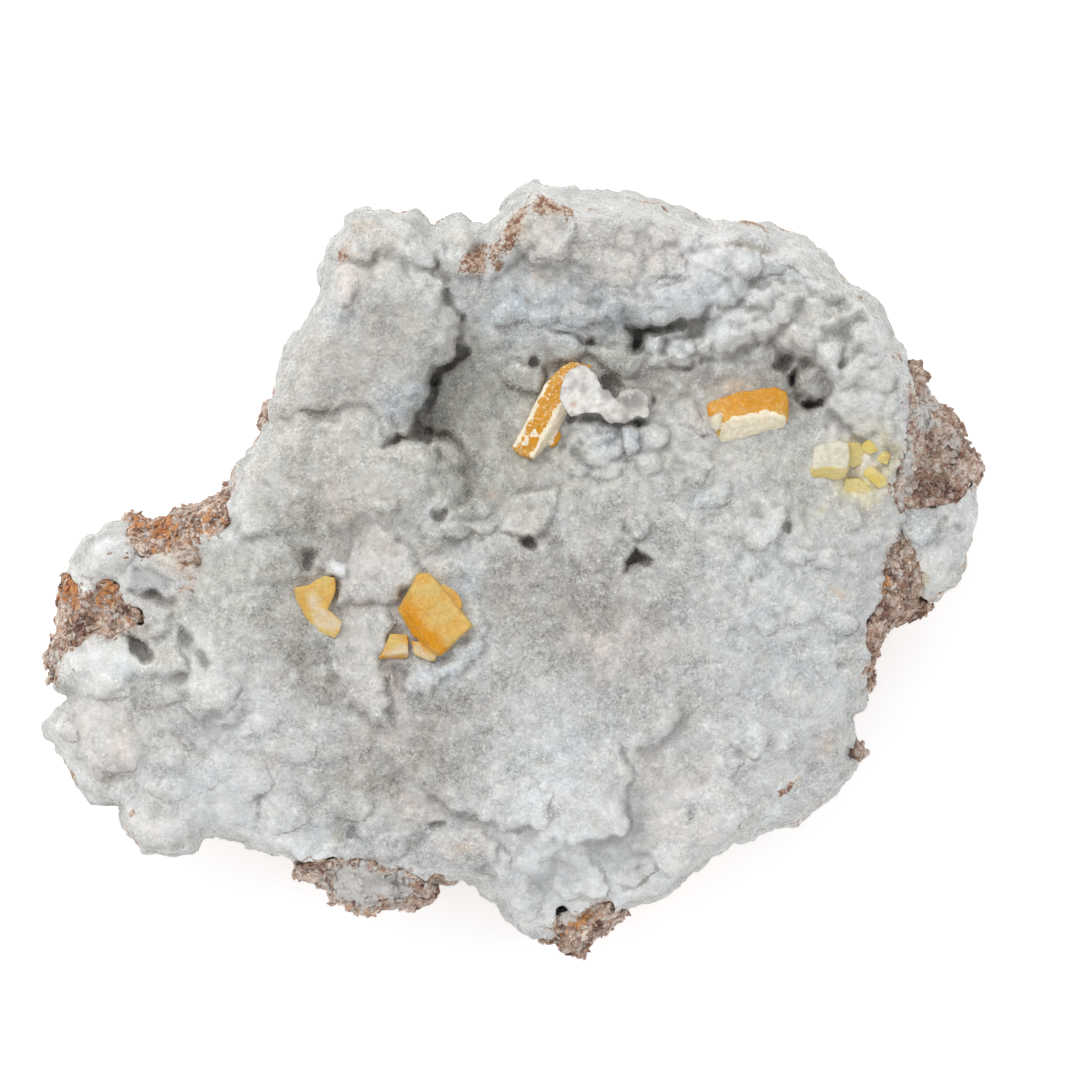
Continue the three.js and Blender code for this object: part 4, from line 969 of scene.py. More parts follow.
# How grainy the druse is there.
PLAIN_GRAIN = 0.4
GRAININESS = {
    "dull_and_shade": 1.0, "moss": 0.8, "haze": 0.9, "cool": 0.6, "pink": 0.3, "white": 0.1, "blade": 0.0,
    "cream": 0.5, "lavender": 0.3, "yellow": 0.2, "milk": 0.12, "honey": 0.1,
}
# The shade spots paint shade into crevices, caves, pockets and onto the boulder in the right-hand cave;
# some dull spots paint shade beside the main crevice, on the upper-left block's shaded side and under the
# ledge.
SPOTS = [
    # broad tints
    ("olive", -14, 8, 16, 8, 0, 0.6), ("olive", -28, 0, 9, 8, 0, 0.6), ("olive", 0, 12, 8, 9, 0, 0.6),
    ("olive", 22, 8, 12, 6, 0, 0.35), ("cool", 6, 27, 13, 5, 0, 0.6), ("haze", 4, 0, 12, 7, 0, 0.6),
    ("haze", 12, -9, 8, 6, 0, 0.6), ("haze", -9, -15, 9, 6, 0, 0.7), ("milk", 3, -19, 7, 5, 0, 0.8),
    ("haze", -18, -22, 9, 6, 0, 0.5), ("haze", 12, 32, 10, 4, 0, 0.6),
    ("tan", -20.5, 20, 2.4, 11, -18, 0.45), ("dull_and_shade", -22.0, 16, 2.6, 9, -18, 0.5),
    ("shade", 11, 17.6, 3.0, 1.2, 0, 0.4), ("haze", 10, -2, 9, 5, 0, 0.5), ("dull_and_shade", 7, -3, 10, 5, 0, 0.5),
    ("milk", 0, -29, 14, 4, 0, 0.9), ("milk", -30, -22, 11, 6, 0, 0.7), ("haze", -33, -16, 5, 3, 0, 0.5),
    ("milk", -26, -12, 4, 4, 0, 0.8), ("milk", -15, -12, 3, 3, 0, 0.6), ("milk", 17, -24, 8, 6, 0, 0.8),
    ("milk", 27, -16, 7, 5, 0, 0.9), ("milk", 10, -30, 6, 3, 0, 1.0), ("milk", -22, -28, 5, 2, 0, 1.0),
    ("milk", 4, -35, 4, 3, 0, 1.0), ("haze", -9, -28, 5, 3, 0, 0.6), ("dull_and_shade", -14, -1, 4, 4, 0, 0.5),
    ("dull_and_shade", 9, -6, 5, 4, 0, 0.35), ("dull_and_shade", -3, 13, 4, 4, 0, 0.5), ("milk", -4, 5.5, 4, 4, 0, 0.6),
    ("milk", -9, 9, 5, 4, 0, 0.5), ("milk", -10, 30, 4, 3, 0, 0.5), ("milk", -5, 31, 3, 3, 0, 0.4),
    ("milk", -27, 6, 4, 3, 0, 0.6), ("milk", 22, 24, 6, 4, 0, 0.5), ("milk", 33, 12, 4, 3, 0, 0.5),
    ("milk", 2, 20, 3, 2, 0, 0.4), ("milk", 45, 6, 3, 5, 0, 0.6), ("cool", 22, 30, 4, 3, 0, 0.5),
    ("milk", 22, 30.4, 4, 3, 0, 0.6), ("milk", 9, -29, 8, 3, 0, 0.6), ("milk", -16, -12, 4, 3, 0, 0.5),
    ("dull_and_shade", -15, 2, 4, 4, 0, 0.6), ("dull_and_shade", 17, 18.5, 6, 2.6, 0, 0.7), ("dull_and_shade", 9, 30, 4, 3, 0, 0.5),
    ("putty", -20, 18, 6, 5, -30, 0.8), ("tan", -33, 0.5, 2.4, 2.0, 0, 0.7),
    ("tan", -38.6, -6.2, 2.4, 1.2, 0, 0.7), ("milk", 30, -5, 6, 4, 0, 0.4),
    ("milk", 33, 13, 3, 3, 0, 0.5), ("milk", 22, 24, 5, 3, 0, 0.5), ("milk", 22, 31, 5, 3, 0, 0.4),
    ("dull_and_shade", 0, 3, 4, 3, 0, 0.4), ("milk", -27, 5, 3, 3, 0, 0.6),
    ("shade", 27.4, 19.8, 1.1, 2.4, 20, 0.55), ("dull_and_shade", 14, 18.6, 8, 1.6, 0, 0.4),
    ("dull_and_shade", -9.4, 21, 3.2, 6, 20, 0.55), ("dull_and_shade", -3, 12, 4, 4, 0, 0.45),
    ("dull_and_shade", 21, 18.4, 3, 2.2, 0, 0.4), ("dull_and_shade", -15, 12.6, 3, 2, 0, 0.35),
    ("dull_and_shade", 3, 11, 3, 3, 0, 0.25), ("dull_and_shade", 21, 12, 2, 2, 0, 0.25), ("white", -21, -28.6, 4, 2, 0, 0.7),
    ("white", 9, -31, 3, 2, 0, 0.5), ("white", -27, 6, 2, 2, 0, 0.4), ("white", -9, 1, 2, 2, 0, 0.5),
    ("white", -15, -13, 3, 3, 0, 0.2), ("milk", 32, 24, 4, 3, 0, 0.5), ("dull_and_shade", 1, -4, 3, 3, 0, 0.25),
    ("dull_and_shade", 27, 10, 3, 6, 0, 0.2), ("dull_and_shade", -22, -7, 3, 3, 0, 0.3), ("dull_and_shade", -34, -14, 3, 4, 0, 0.25),
    ("dull_and_shade", -9, -11, 3, 3, 0, 0.25), ("white", -15, -24, 2, 2, 0, 0.3), ("white", -9, 31, 3, 3, 0, 0.45),
    ("white", -2, 29, 2, 2, 0, 0.4), ("dull_and_shade", -3, 12.4, 3, 3, 0, 0.4), ("milk", -3, 6, 3, 3, 0, 0.5),
    ("white", -9, 1, 2, 2, 0, 0.4), ("white", -3, -6, 3, 3, 0, 0.4), ("milk", -15, -13, 3, 3, 0, 0.4),
    ("milk", -21, -18, 3, 3, 0, 0.45), ("white", 14, -19, 3, 3, 0, 0.35), ("haze", -3, -30, 3, 3, 0, 0.6),
    ("white", 9, -30, 3, 2, 0, 0.4), ("haze", -45, -12, 2, 3, 0, 0.6), ("haze", 33, 29, 3, 3, 0, 0.6),
    ("white", 20, 24, 3, 3, 0, 0.25), ("white", 33, 21, 4, 4, 0, 0.3),
    ("dull_and_shade", -8.6, 16.5, 2.4, 3.4, -20, 0.4), ("milk", 21, 25, 4, 3, 0, 0.4),
    ("milk", 28, 25, 4, 3, 0, 0.4), ("white", 34, 24, 3, 3, 0, 0.35), ("dull_and_shade", -3, 12.6, 3, 3, 0, 0.3),
    ("milk", -27, 6, 3, 3, 0, 0.4), ("white", 3, -22, 6, 3, 0, 0.25), ("white", -21, -30, 3, 1.6, 0, 0.4),
    ("milk", 27, -24, 4, 3, 0, 0.4), ("tan", -15, 33, 4, 3, 0, 0.5), ("tan", 1, 34.5, 4, 2.4, 0, 0.6),
    ("haze", 30, 24, 6, 6, 0, 0.4), ("shade", -7.4, 17.8, 2.0, 5.4, -25, 0.85),
    ("shade", -9.0, 13.2, 3, 1.3, 0, 0.5), ("shade", 29, 19.5, 1.4, 2.6, 30, 0.6),
    ("shade", 14.5, 23.8, 3.6, 1.0, 0, 0.55), ("shade", 12.4, 16.6, 2.4, 1.4, 0, 0.4),
    ("shade", 1.6, 2.6, 1.8, 0.7, 0, 0.4), ("shade", 12.4, 1.0, 1.5, 1.5, 0, 0.35),
    ("shade", -4, 8.6, 1.4, 2.6, 0, 0.35), ("shade", -7.6, -9.4, 3.4, 1.3, 25, 0.3),
    ("shade", -36.6, -6.6, 2.0, 1.6, 0, 0.35),
    # and nearer ones
    ("putty", -13, 21, 9, 10, 0, 0.9), ("cream", -18, 9, 9, 6, 0, 0.7), ("moss", -3, 14, 6, 8, 0, 0.9),
    ("moss", -4, 9.5, 2.5, 3.5, 0, 0.9), ("moss", 11, 21, 3, 1.8, 0, 0.8), ("moss", 0, 19, 4, 2, 0, 0.6),
    ("cool", 0, 26, 3.5, 2, 0, 0.9), ("cool", 8, 26, 5, 2.2, 0, 0.9), ("cool", 17, 27, 5, 2, 0, 0.7),
    ("cool", -10.5, 17, 3.5, 2, 40, 0.8), ("lavender", -16.3, 25.4, 1, 1.6, -35, 1.0),
    ("cool", -17.5, 26, 1.6, 1.6, 0, 0.7), ("pink", -16.8, 28.8, 1.6, 2.2, 0, 1.0),
    ("pink", 13, 31, 5, 3, 0, 0.7), ("pink", 3.4, 29.3, 1.3, 0.9, 0, 1.0),
    ("tan", 3.2, 29.3, 1, 0.6, 0, 0.4), ("pink", 4.3, 32.6, 2.4, 1.6, 0, 0.7),
    ("lavender", 12, 31.4, 1.0, 0.6, 0, 0.6), ("cool", 26.8, 29.4, 1.6, 0.6, 0, 0.8),
    ("cream", 30, 24.6, 5, 3, 0, 0.5), ("putty", 36, 20, 3, 2.4, 0, 0.4),
    ("white", 16.8, 22.4, 2.6, 1.6, 0, 0.8), ("white", 14.4, 22.8, 0.9, 1.4, 0, 0.7),
    ("shade", 30.0, 18.2, 1.9, 1.8, 0, 1.0), ("shade", 29.7, 17.9, 1.4, 1.4, 0, 0.7),
    ("tan", 22.8, 18.6, 2.2, 0.9, 6, 0.9), ("cool", 8.6, 13.6, 3, 2, 0, 0.8),
    ("cool", 12, 13, 1.4, 1.6, 0, 0.9), ("cool", 19, 7.4, 3, 1.4, 10, 0.7),
    ("dull_and_shade", 4, 9.4, 3, 1.4, 20, 0.5), ("tan", 2.1, 5.9, 0.8, 0.5, 0, 0.9),
    ("pink", 1, 5, 1.8, 1.6, 0, 0.5), ("tan", -1.8, 7.7, 0.5, 0.4, 0, 1.0),
    ("dull_and_shade", -20, 5.5, 4, 3.4, 0, 0.7), ("dull_and_shade", -20, 1, 1.4, 1.2, 0, 0.9),
    ("blade", -13.4, 0.4, 3.4, 3.4, 0, 1.0), ("blade", -14.9, -7.2, 2.2, 3.6, 0, 1.0),
    ("blade", -13.9, -12.6, 1.8, 3.0, 14, 1.0), ("tan", -12.3, 1.8, 0.8, 0.8, 0, 0.55),
    ("tan", -15.2, -3.7, 1.4, 0.25, 8, 0.8), ("white", -13.4, -13.6, 0.9, 1.8, 14, 0.5),
    ("white", -14.8, -8, 1.0, 3.0, 5, 0.25), ("dull_and_shade", -18.6, -9, 0.9, 3.4, 10, 0.5),
    ("pink", -17, 7, 1.6, 3, 0, 0.7), ("tan", -16.8, 5.4, 0.7, 0.9, 0, 0.5),
    ("dull_and_shade", -24, -5.4, 3.4, 3, 0, 0.6), ("dull_and_shade", -20, -9.6, 4, 3.6, 0, 0.8),
    ("dull_and_shade", -23, 0.6, 2, 3, 0, 0.3), ("dull_and_shade", -6.6, -12.6, 3.6, 2.6, 0, 0.8),
    ("dull_and_shade", -10, -17.6, 7, 4.6, 0, 0.65), ("dull_and_shade", -13, -21.4, 6, 3, 0, 0.5),
    ("dull_and_shade", -17.6, -12.8, 1.6, 1.2, 0, 0.8), ("pink", -12, -17, 2.4, 1.6, 0, 0.7),
    ("pink", -11.6, -11.4, 1.2, 2.6, 0, 1.0), ("pink", -9.6, -23, 3, 1.6, 0, 0.7),
    ("tan", -15.2, -20.6, 1.8, 1.2, 0, 0.35), ("pink", 11.6, -7.4, 4, 3, 0, 0.8),
    ("pink", 9.2, -6.8, 1.2, 1.2, 0, 0.6), ("dull_and_shade", 9, -4.6, 3.4, 1.6, 0, 0.5),
    ("dull_and_shade", -1.6, -3.6, 2.4, 3.4, 30, 0.5), ("cool", -4.2, -0.4, 1.8, 2, 0, 0.8),
    ("cool", -6.6, -9.8, 4, 1.8, 30, 1.0), ("white", -8, -10.8, 1.2, 1, 0, 0.5),
    ("white", -3.4, -4.6, 0.8, 2, -20, 0.6), ("cool", 6, -18, 4.4, 5, 0, 0.3),
    ("white", 4.6, -23.6, 6, 2, 0, 0.35), ("cool", 26, -8, 9, 6, 0, 0.35), ("cool", 26, 0, 6, 3, 0, 0.4),
    ("pink", 15, -20, 4, 3, 0, 0.5), ("pink", 18, -14, 3, 2, 0, 0.4), ("pink", 18, -26, 4.6, 4, 0, 0.5),
    ("lavender", 36.4, 2.6, 1.5, 3.6, 0, 0.7), ("tan", 36.6, 6.4, 1.2, 1.2, 0, 0.5),
    ("lavender", 39, 15, 0.8, 5, 0, 0.95), ("lavender", 35, -4.6, 1.2, 2, 0, 0.6),
    ("lavender", 34.8, -13.4, 1, 1.6, 0, 0.9), ("lavender", 32, -19, 2.8, 4, -15, 0.8),
    ("tan", 32, -17.8, 1.1, 1.2, 0, 0.8), ("lavender", 30, -23, 3.6, 1.6, 35, 0.5),
    ("tan", 33, -2.1, 0.9, 0.4, -30, 0.9), ("cool", 41.6, 4.2, 2, 1.6, 0, 0.9),
    ("lavender", 44.8, 4.6, 0.9, 1.2, 0, 0.8), ("honey", 35.6, 10.6, 2.6, 2.8, 0, 1.0),
    ("honey", 35.6, 10.6, 2.6, 2.8, 0, 0.8), ("yellow", 34.9, 8.6, 1.6, 1.4, 0, 0.6),
    ("tan", 35.4, 10.7, 1.4, 0.8, 0, 0.7), ("white", 35.5, 10.7, 1.0, 0.6, 0, 0.4),
    ("yellow", 31.7, 6.4, 0.6, 0.4, 0, 0.8), ("yellow", 36.4, 7.6, 1.0, 1.0, 0, 0.4),
    ("yellow", 41.0, -0.8, 0.4, 0.6, 0, 0.6), ("yellow", -3.4, -31.2, 0.5, 0.6, 0, 0.9),
    ("yellow", -17, -26.8, 0.5, 0.6, 0, 0.4), ("pink", -39.6, -17.2, 2.6, 3.6, 0, 0.85),
    ("pink", -43.4, -16.4, 2.6, 2.4, 0, 0.5), ("dull_and_shade", -40.6, -20.8, 2, 0.8, 0, 0.5),
    ("pink", -35, -26.6, 3.4, 2, 0, 0.5), ("lavender", -36.2, -1.2, 3, 1.8, 0, 0.8),
    ("dull_and_shade", -35, -3, 2, 0.8, -15, 0.7), ("lavender", -30.6, -14.8, 3.4, 1.2, 0, 0.5),
    ("cool", -29, -21, 6, 4, 0, 0.25), ("white", -40.4, -9.4, 3.6, 1.2, -5, 0.7),
    ("white", -41, 1.6, 3, 2.6, 30, 0.5), ("tan", -34.4, -8.6, 0.9, 0.9, 0, 0.5),
    ("dull_and_shade", -37, -6.4, 1.6, 0.7, 0, 0.6), ("cool", -15.4, -26.6, 1.6, 0.8, 0, 0.5),
    ("lavender", -15.4, -26.4, 1.0, 0.7, 0, 0.8), ("pink", -4.6, -27.8, 2.2, 0.9, 0, 0.8),
    ("tan", -4.6, -27.6, 1.6, 0.6, 0, 0.4), ("lavender", 6.3, -31.2, 0.9, 1, 0, 0.6),
    ("lavender", 12.4, -30, 0.9, 0.7, 0, 0.8), ("pink", -23.6, -18.6, 1.8, 1.4, 0, 0.5),
    ("pink", -30, -11.8, 1.6, 1, 0, 0.3), ("tan", -4.9, 33.4, 1.2, 1.2, 0, 0.6),
    ("cream", -4.4, 30.8, 1.2, 1.2, 0, 0.7), ("tan", 23.6, 32.0, 2.2, 0.3, -5, 0.7),
    ("white", -17, 0.2, 1.1, 0.8, 0, 1.0), ("white", 25.8, 4.4, 1.6, 1.4, 20, 0.5),
    ("white", 17, 5.4, 1.0, 0.6, 0, 0.5),
]
STAINS = [
    (-3.4, 30.6, 1.5, 2.6, -20, 1.0), (0.5, 34.4, 1.0, 2.8, -24, 1.0), (4.6, 36.0, 3.6, 0.7, -5, 0.95),
    (-1.2, 31.8, 0.7, 1.8, -30, 0.9), (8.6, 36.0, 1.4, 0.8, 0, 0.8), (-17.4, 31.6, 1.0, 2.4, 10, 0.8),
    (-1.6, 32.6, 1.8, 3.4, -30, 0.55), (3.2, 36.3, 4.0, 0.9, 5, 0.5), (-16.4, 33.6, 1.8, 2.4, 30, 0.4),
    (7.2, 36.0, 2.0, 0.7, 0, 0.45), (-4.2, 30.4, 1.6, 2.2, -10, 0.5), (-18.4, 30.0, 0.9, 3.0, -4, 0.45),
    (-10.5, 35.0, 1.8, 0.8, -10, 0.4), (-4.2, 35.2, 1.8, 0.6, -10, 0.45), (0.9, 35.4, 0.8, 1.6, -25, 1.0),
    (0.2, 33.4, 0.5, 1.2, -10, 0.9), (-1.3, 30.2, 0.5, 0.9, -35, 0.9), (-3.8, 30.4, 0.9, 1.7, -10, 1.0),
    (-2.1, 32.5, 1.0, 0.5, 10, 0.9), (3.3, 35.3, 0.9, 0.35, 0, 1.0), (3.2, 36.9, 1.4, 0.6, 0, 0.85),
    (6.2, 36.4, 1.4, 0.4, 0, 0.8), (8.4, 36.6, 0.8, 0.5, 0, 0.7), (0.2, 36.5, 0.9, 0.6, 30, 0.9),
    (5.6, 35.2, 1.2, 0.5, 20, 0.7), (-17.0, 32.4, 0.9, 0.8, 0, 0.85), (-18.6, 29.8, 0.4, 2.6, -4, 0.8),
    (-15.4, 35.4, 0.9, 0.5, 10, 0.8), (-15.8, 33.4, 0.9, 0.5, 40, 0.6), (-9.4, 35.3, 1.0, 0.35, -10, 0.9),
    (-4.0, 35.4, 1.4, 0.25, -15, 0.9), (-24.8, 10.0, 0.8, 0.7, 50, 0.65), (-27.2, 7.2, 1.0, 0.7, 0, 0.75),
    (-38.1, -25.0, 0.55, 0.75, -20, 0.85), (27.3, -21.6, 0.35, 1.9, -47, 0.95),
    (35.2, 27.8, 0.6, 0.3, -50, 1.0), (37.5, 25.0, 0.3, 0.9, 35, 0.9), (-38.8, 1.3, 0.35, 0.7, -30, 0.95),
    (-40.4, 1.6, 0.2, 0.2, 0, 1.0), (-32.8, -2.0, 0.7, 0.7, 0, 0.75), (-31.8, -1.4, 0.4, 0.5, 0, 0.75),
    (-43.8, -10.0, 0.3, 0.9, 25, 0.8), (39.2, 11.4, 0.4, 1.0, 0, 0.6), (38.8, 17.0, 0.4, 0.6, 0, 0.6),
    (39.8, 19.2, 0.5, 0.6, 0, 0.7), (38.2, 7.6, 0.6, 0.7, 0, 0.7), (46.0, 1.2, 0.4, 0.8, -30, 0.9),
    (46.7, 4.4, 0.3, 0.5, 0, 0.9), (-22.4, -28.4, 0.7, 0.3, -30, 0.8), (-32.6, 0.4, 1.0, 1.2, 0, 0.8),
    (-32.3, -1.6, 0.9, 1.6, 20, 0.7), (33.4, -20.6, 1.4, 0.3, 40, 0.6), (23.4, -26.6, 1.0, 0.3, 20, 0.6),
    (-12.2, 1.4, 0.8, 0.7, 0, 0.35), (-1.8, 7.7, 0.3, 0.2, 0, 0.8), (-44.6, -15.0, 1.0, 0.3, 20, 0.55),
    (-2.2, -31.2, 0.2, 0.2, 0, 0.8), (-5.0, -31.0, 0.5, 0.3, 0, 0.8), (-18.0, -29.0, 4.4, 0.25, 3, 0.95),
    (31.6, -22.6, 0.9, 0.2, 40, 0.6), (2.8, -36.4, 0.9, 0.2, 15, 0.8),
]
# Where the lumps are coarse, and where the surface is smooth.
COARSE = [
    (20, 27, 18, 10, 0, 1.0), (10, 15, 14, 8, 0, 0.8), (24, 4, 14, 9, 0, 0.5), (-3, 4, 6, 4, 0, 0.6),
    (34, 22, 7, 8, 0, 1.0), (-10, 32, 8, 6, 0, 0.4), (2, 32, 8, 6, 0, 0.6), (-38, -3, 8, 8, 0, 0.3),
]
SMOOTH = [
    (-38, -18, 10, 11, 0, 1.0), (-28, -21, 9, 7, 0, 0.8), (-40, -9, 6, 4, 0, 0.9), (43, 2, 6, 6, 0, 1.0),
    (-41, 2, 5, 4, 0, 0.8), (18, -25, 8, 7, 0, 0.8), (24, -12, 12, 9, 0, 0.6), (-17, 29, 2.4, 3, 0, 0.8),
    (4, -24, 8, 4, 0, 0.5), (4, -32, 6, 4, 0, 0.7), (-36, -1, 4, 3, 0, 0.6), (4.4, 32.6, 3, 2, 0, 0.8),
]


def spot_map(spots, spread=1.3):
    """A map of soft spots, the strongest one counting at each place."""
    field = np.zeros(GX.shape)
    for x, y, rx, ry, turn, strength in spots:
        field = np.maximum(field, strength * soft_spot(x, y, rx * spread, ry * spread, turn))
    return field


def tint_map():
    """The crust's colour before its grain, and how strong the grain is."""
    field = np.empty(GX.shape + (3,))
    field[:] = CALCITE
    grain = 0.45 + 0.2 * spread_noise(6, 33)
    breaks = 0.9 + 0.25 * spread_noise(1.4, 31) + 0.2 * spread_noise(0.7, 32)
    for name, x, y, rx, ry, turn, strength in SPOTS:
        share = strength * soft_spot(x, y, rx * 1.5, ry * 1.5, turn) * breaks
        field += np.clip(share, 0, 1)[..., None] * (np.array(TINTS[name]) - field)
        grain += np.clip(share, 0, 1) * (GRAININESS.get(name, PLAIN_GRAIN) - grain)
    # Painted shade: the colour a little darker close to the rim.
    field *= 1 - 0.03 * np.exp(-((np.clip(edge, 0, None) / 2.4) ** 2))[..., None]
    return field, np.clip(grain, 0, 1) * (1 - 0.5 * coarse_map)


# Distance in from the rim, and where limonite is bare.
edge = inside_distance(OUTLINE, NEAR) + OUTLINE_SHIFT
bare = np.zeros(GX.shape)
for outline in BARE:
    bare = np.maximum(bare, inside_distance(outline, BENT) > 0)
bare = np.where(inside_distance(FLANK_CALCITE, BENT) > 0, 0, bare)
bare_soft = np.clip(blurred(bare, 0.35), 0, 1)
coarse_map, smooth_map = np.clip(spot_map(COARSE, 1.6), 0, 1), np.clip(spot_map(SMOOTH), 0, 1)
face = relief(edge, bare_soft, coarse_map, smooth_map)
# Painted shade in the hollows, both narrow and broad.
hollow_shade_map = np.clip((blurred(face, 1.0) - face) * 0.55 - 0.1, 0, 1)
hollow_shade_map = np.clip(hollow_shade_map + np.clip((blurred(face, 3.0) - face) * 0.15 - 0.05, 0, 0.5), 0, 1)
# Painted shade in the creases and painted highlight on the ridges, at a fine and at a coarser scale.
cavity_shading_map = (0.9 + 0.6 * coarse_map) * (face - blurred(face, 0.45))
cavity_shading_map += 0.03 * (face - blurred(face, 1.4))
cavity_shading_map = 1 + np.clip(cavity_shading_map, -0.32, 0.10)
# The lobes' outlines, and how dark the painted shadow line is along each stretch of them, darkest on the
# shaded lower right.
lobe_map = lobe_distance()
slope_y, slope_x = np.gradient(lobe_map, STEP)
away = -(LOWER_RIGHT[0] * slope_x + LOWER_RIGHT[1] * slope_y)
away /= np.maximum(np.hypot(slope_x, slope_y), 0.2)
lobe_shadow_share = np.clip(0.45 + 0.55 * away, 0.1, 1)
lobe_shadow_share *= np.clip(0.65 + 0.35 * spread_noise(2.2, 26), 0, 1)
colour_map, grain_map = tint_map()
stain_map = np.maximum(spot_map(STAINS, 1.4), 0.75 * np.clip(blurred(bare, 0.8) * 1.6, 0, 1))
# Where the face falls off steeply at the rim, so that the maps would be drawn out into streaks.
steep_map = np.clip((np.hypot(*np.gradient(blurred(face, 0.3), STEP)) - 1.6) / 1.6, 0, 1)
steep_map *= np.clip(1.6 - edge / 1.6, 0, 1)

# The crust's outer sides: the level where they begin, over how much they blend into the face, and
# the level below which they turn rusty towards the rock.
WALL_TOP = LIP + 0.2
WALL_BLEND = 1.6
WALL_FOOT = 12.0
CRUST_FLOOR = 8.0  # level of the crust's underside, which is higher near the rim
CRUST_LEAST = 0.6  # least thickness of the crust
ROCK_LEAST = 9.0  # lowest level of the rock's top
ROCK_COVERED = 14  # how far the rock's top falls away under the crust
ROCK_INSET = 1.6  # how far the rock stays inside the crust's rim
FOOT_ROUND = 11.0  # radius and height of the rock's rounded foot


def wall_share(places):
    """1 on the crust's broken outer sides, below the display face, and 0 on the face."""
    return np.clip((WALL_TOP - places[:, 2]) / WALL_BLEND, 0, 1)


def crust_piece():
    under = bare_soft > 0.5
    near_rim = np.clip(1 - edge / 6, 0, 1) ** 2
    low = CRUST_FLOOR + near_rim * (2.0 + 1.2 * spread_noise(5, 30))
    low = np.minimum(low, face - CRUST_LEAST)
    piece = solid_between("calcite_crust_face", (edge > 0) & ~under, low, face)
    remeshed(piece, CRUST_VOXEL, 0.5)
    roughened(piece, [(3.0, 0.5, 1), (1.3, 0.35, 2)], sides_only=1.0)
    roughened(piece, [(1.1, 0.05, 3)])
    return thinned(piece, CRUST_FACES)


def rock_piece():
    covered = np.clip((0.34 - blurred(bare, 1.2)) * 3, 0, 1)
    top = face - 0.45 - ROCK_COVERED * covered
    top = np.maximum(top, ROCK_LEAST)
    top = np.minimum(top, np.where(bare_soft > 0.5, face, face - 0.3))
    keep = edge - np.where(bare_soft > 0.35, 0.0, ROCK_INSET)
    low = FOOT_ROUND * (1 - shoulder(keep + RIM_START, FOOT_ROUND)) ** 1.3
    low = np.where(low < 0.15, 0.0, low)
    piece = solid_between("limonite_body", keep > 0, np.minimum(low, top - 0.5), top)
    remeshed(piece, ROCK_VOXEL, 0.5)
    places, normals = vertex_array(piece.data), normal_array(piece.data)
    amount = 0.9 * lattice_noise(places, 5.0, 40) + 0.6 * lattice_noise(places, 2.0, 41)
    amount += 0.3 * lattice_noise(places, 0.9, 42)
    amount *= np.clip(places[:, 2] / 4, 0, 1) * np.where(normals[:, 2] > 0.5, 0.3, 1)
    places += normals * amount[:, None]
    places[:, 2] = np.maximum(places[:, 2], 0)
    set_vertices(piece.data, places)
    return piece


# Thin plates and blades of calcite: outline, level of the top, thickness, slope of the top.
PLATES = {
    "cap_and_arm": (
        [(5.1, 18.0), (5.4, 19.2), (6.1, 20.2), (7.0, 20.6), (7.6, 20.4), (7.9, 19.9), (8.3, 19.7),
         (8.6, 19.0), (9.0, 18.5), (9.3, 18.0), (9.8, 18.0), (10.1, 17.6), (10.4, 16.9),
         (11.0, 16.5), (12.0, 15.9), (12.6, 15.8), (13.9, 16.2), (14.0, 15.5), (13.5, 15.2),
         (12.7, 15.3), (12.0, 15.1), (11.5, 14.8), (11.0, 15.0), (10.5, 14.9), (10.0, 14.6),
         (9.5, 15.0), (8.8, 15.5), (7.8, 15.6), (7.0, 15.5), (6.2, 15.2), (5.9, 15.5),
         (5.5, 16.2), (5.0, 17.1)], 24.5, 1.3, (-0.08, 0.06)),
    "arm_root": (
        [(9.0, 17.2), (10.2, 16.8), (12.0, 15.9), (12.4, 15.5), (10.4, 15.2), (9.0, 15.7)],
        23.0, 3.0, (0.0, 0.0)),
    "arm_end": (
        [(10.6, 17.0), (11.2, 17.6), (12.0, 18.0), (12.8, 18.0), (13.5, 17.7), (13.8, 17.1),
         (13.7, 16.4), (12.6, 15.9), (11.7, 16.1)], 23.7, 3.0, (0.0, 0.06)),
    "shard_by_the_bar": (
        [(17.9, 16.4), (18.8, 16.0), (19.6, 14.4), (19.9, 13.4), (19.0, 13.5), (18.2, 14.2),
         (17.7, 15.2)], 23.0, 2.2, (-0.12, 0.1)),
    "edge_of_the_bar": (
        [(26.2, 14.0), (27.6, 14.4), (28.0, 13.8), (27.4, 13.3), (26.4, 13.4)], 22.8, 2.0, (0, 0)),
    "knob_on_the_bar": (
        [(20.0, 15.2), (20.8, 15.6), (21.3, 15.4), (21.0, 14.6), (20.6, 13.9), (20.0, 14.2)],
        24.9, 2.6, (0, 0)),
}


# Their colour and what tints it: colour, x, y, half length, half width, turn, strength.
PLATE_COLOUR = (0.77, 0.72, 0.67)
ARM_COLOUR, ARM_START = (0.52, 0.48, 0.44), 8.6
PLATE_SPECK, ARM_END, KNOB = (0.66, 0.42, 0.25), (0.42, 0.39, 0.37), (0.80, 0.68, 0.48)
PLATE_SPECKS = [
    (6.3, 16.5, 0.36, 0.36, 0, 0.8), (12.6, 16.4, 1.44, 0.24, -6, 0.5),
    (9.6, 17.8, 0.72, 0.3, -30, 0.4),
]


def plate_solid(points, top, thick, slope):
    """A plate with a sloping top, before remeshing."""
    cx, cy = np.mean(points, axis=0)
    count = len(points)
    upper = [(x, y, top + (x - cx) * slope[0] + (y - cy) * slope[1]) for x, y in points]
    lower = [(cx + (x - cx) * 0.9, cy + (y - cy) * 0.9, z - thick) for x, y, z in upper]
    faces = [list(range(count))[::-1], [count + i for i in range(count)]]
    for i in range(count):
        j = (i + 1) % count
        faces.append([i, j, count + j, count + i])
    return upper + lower, faces


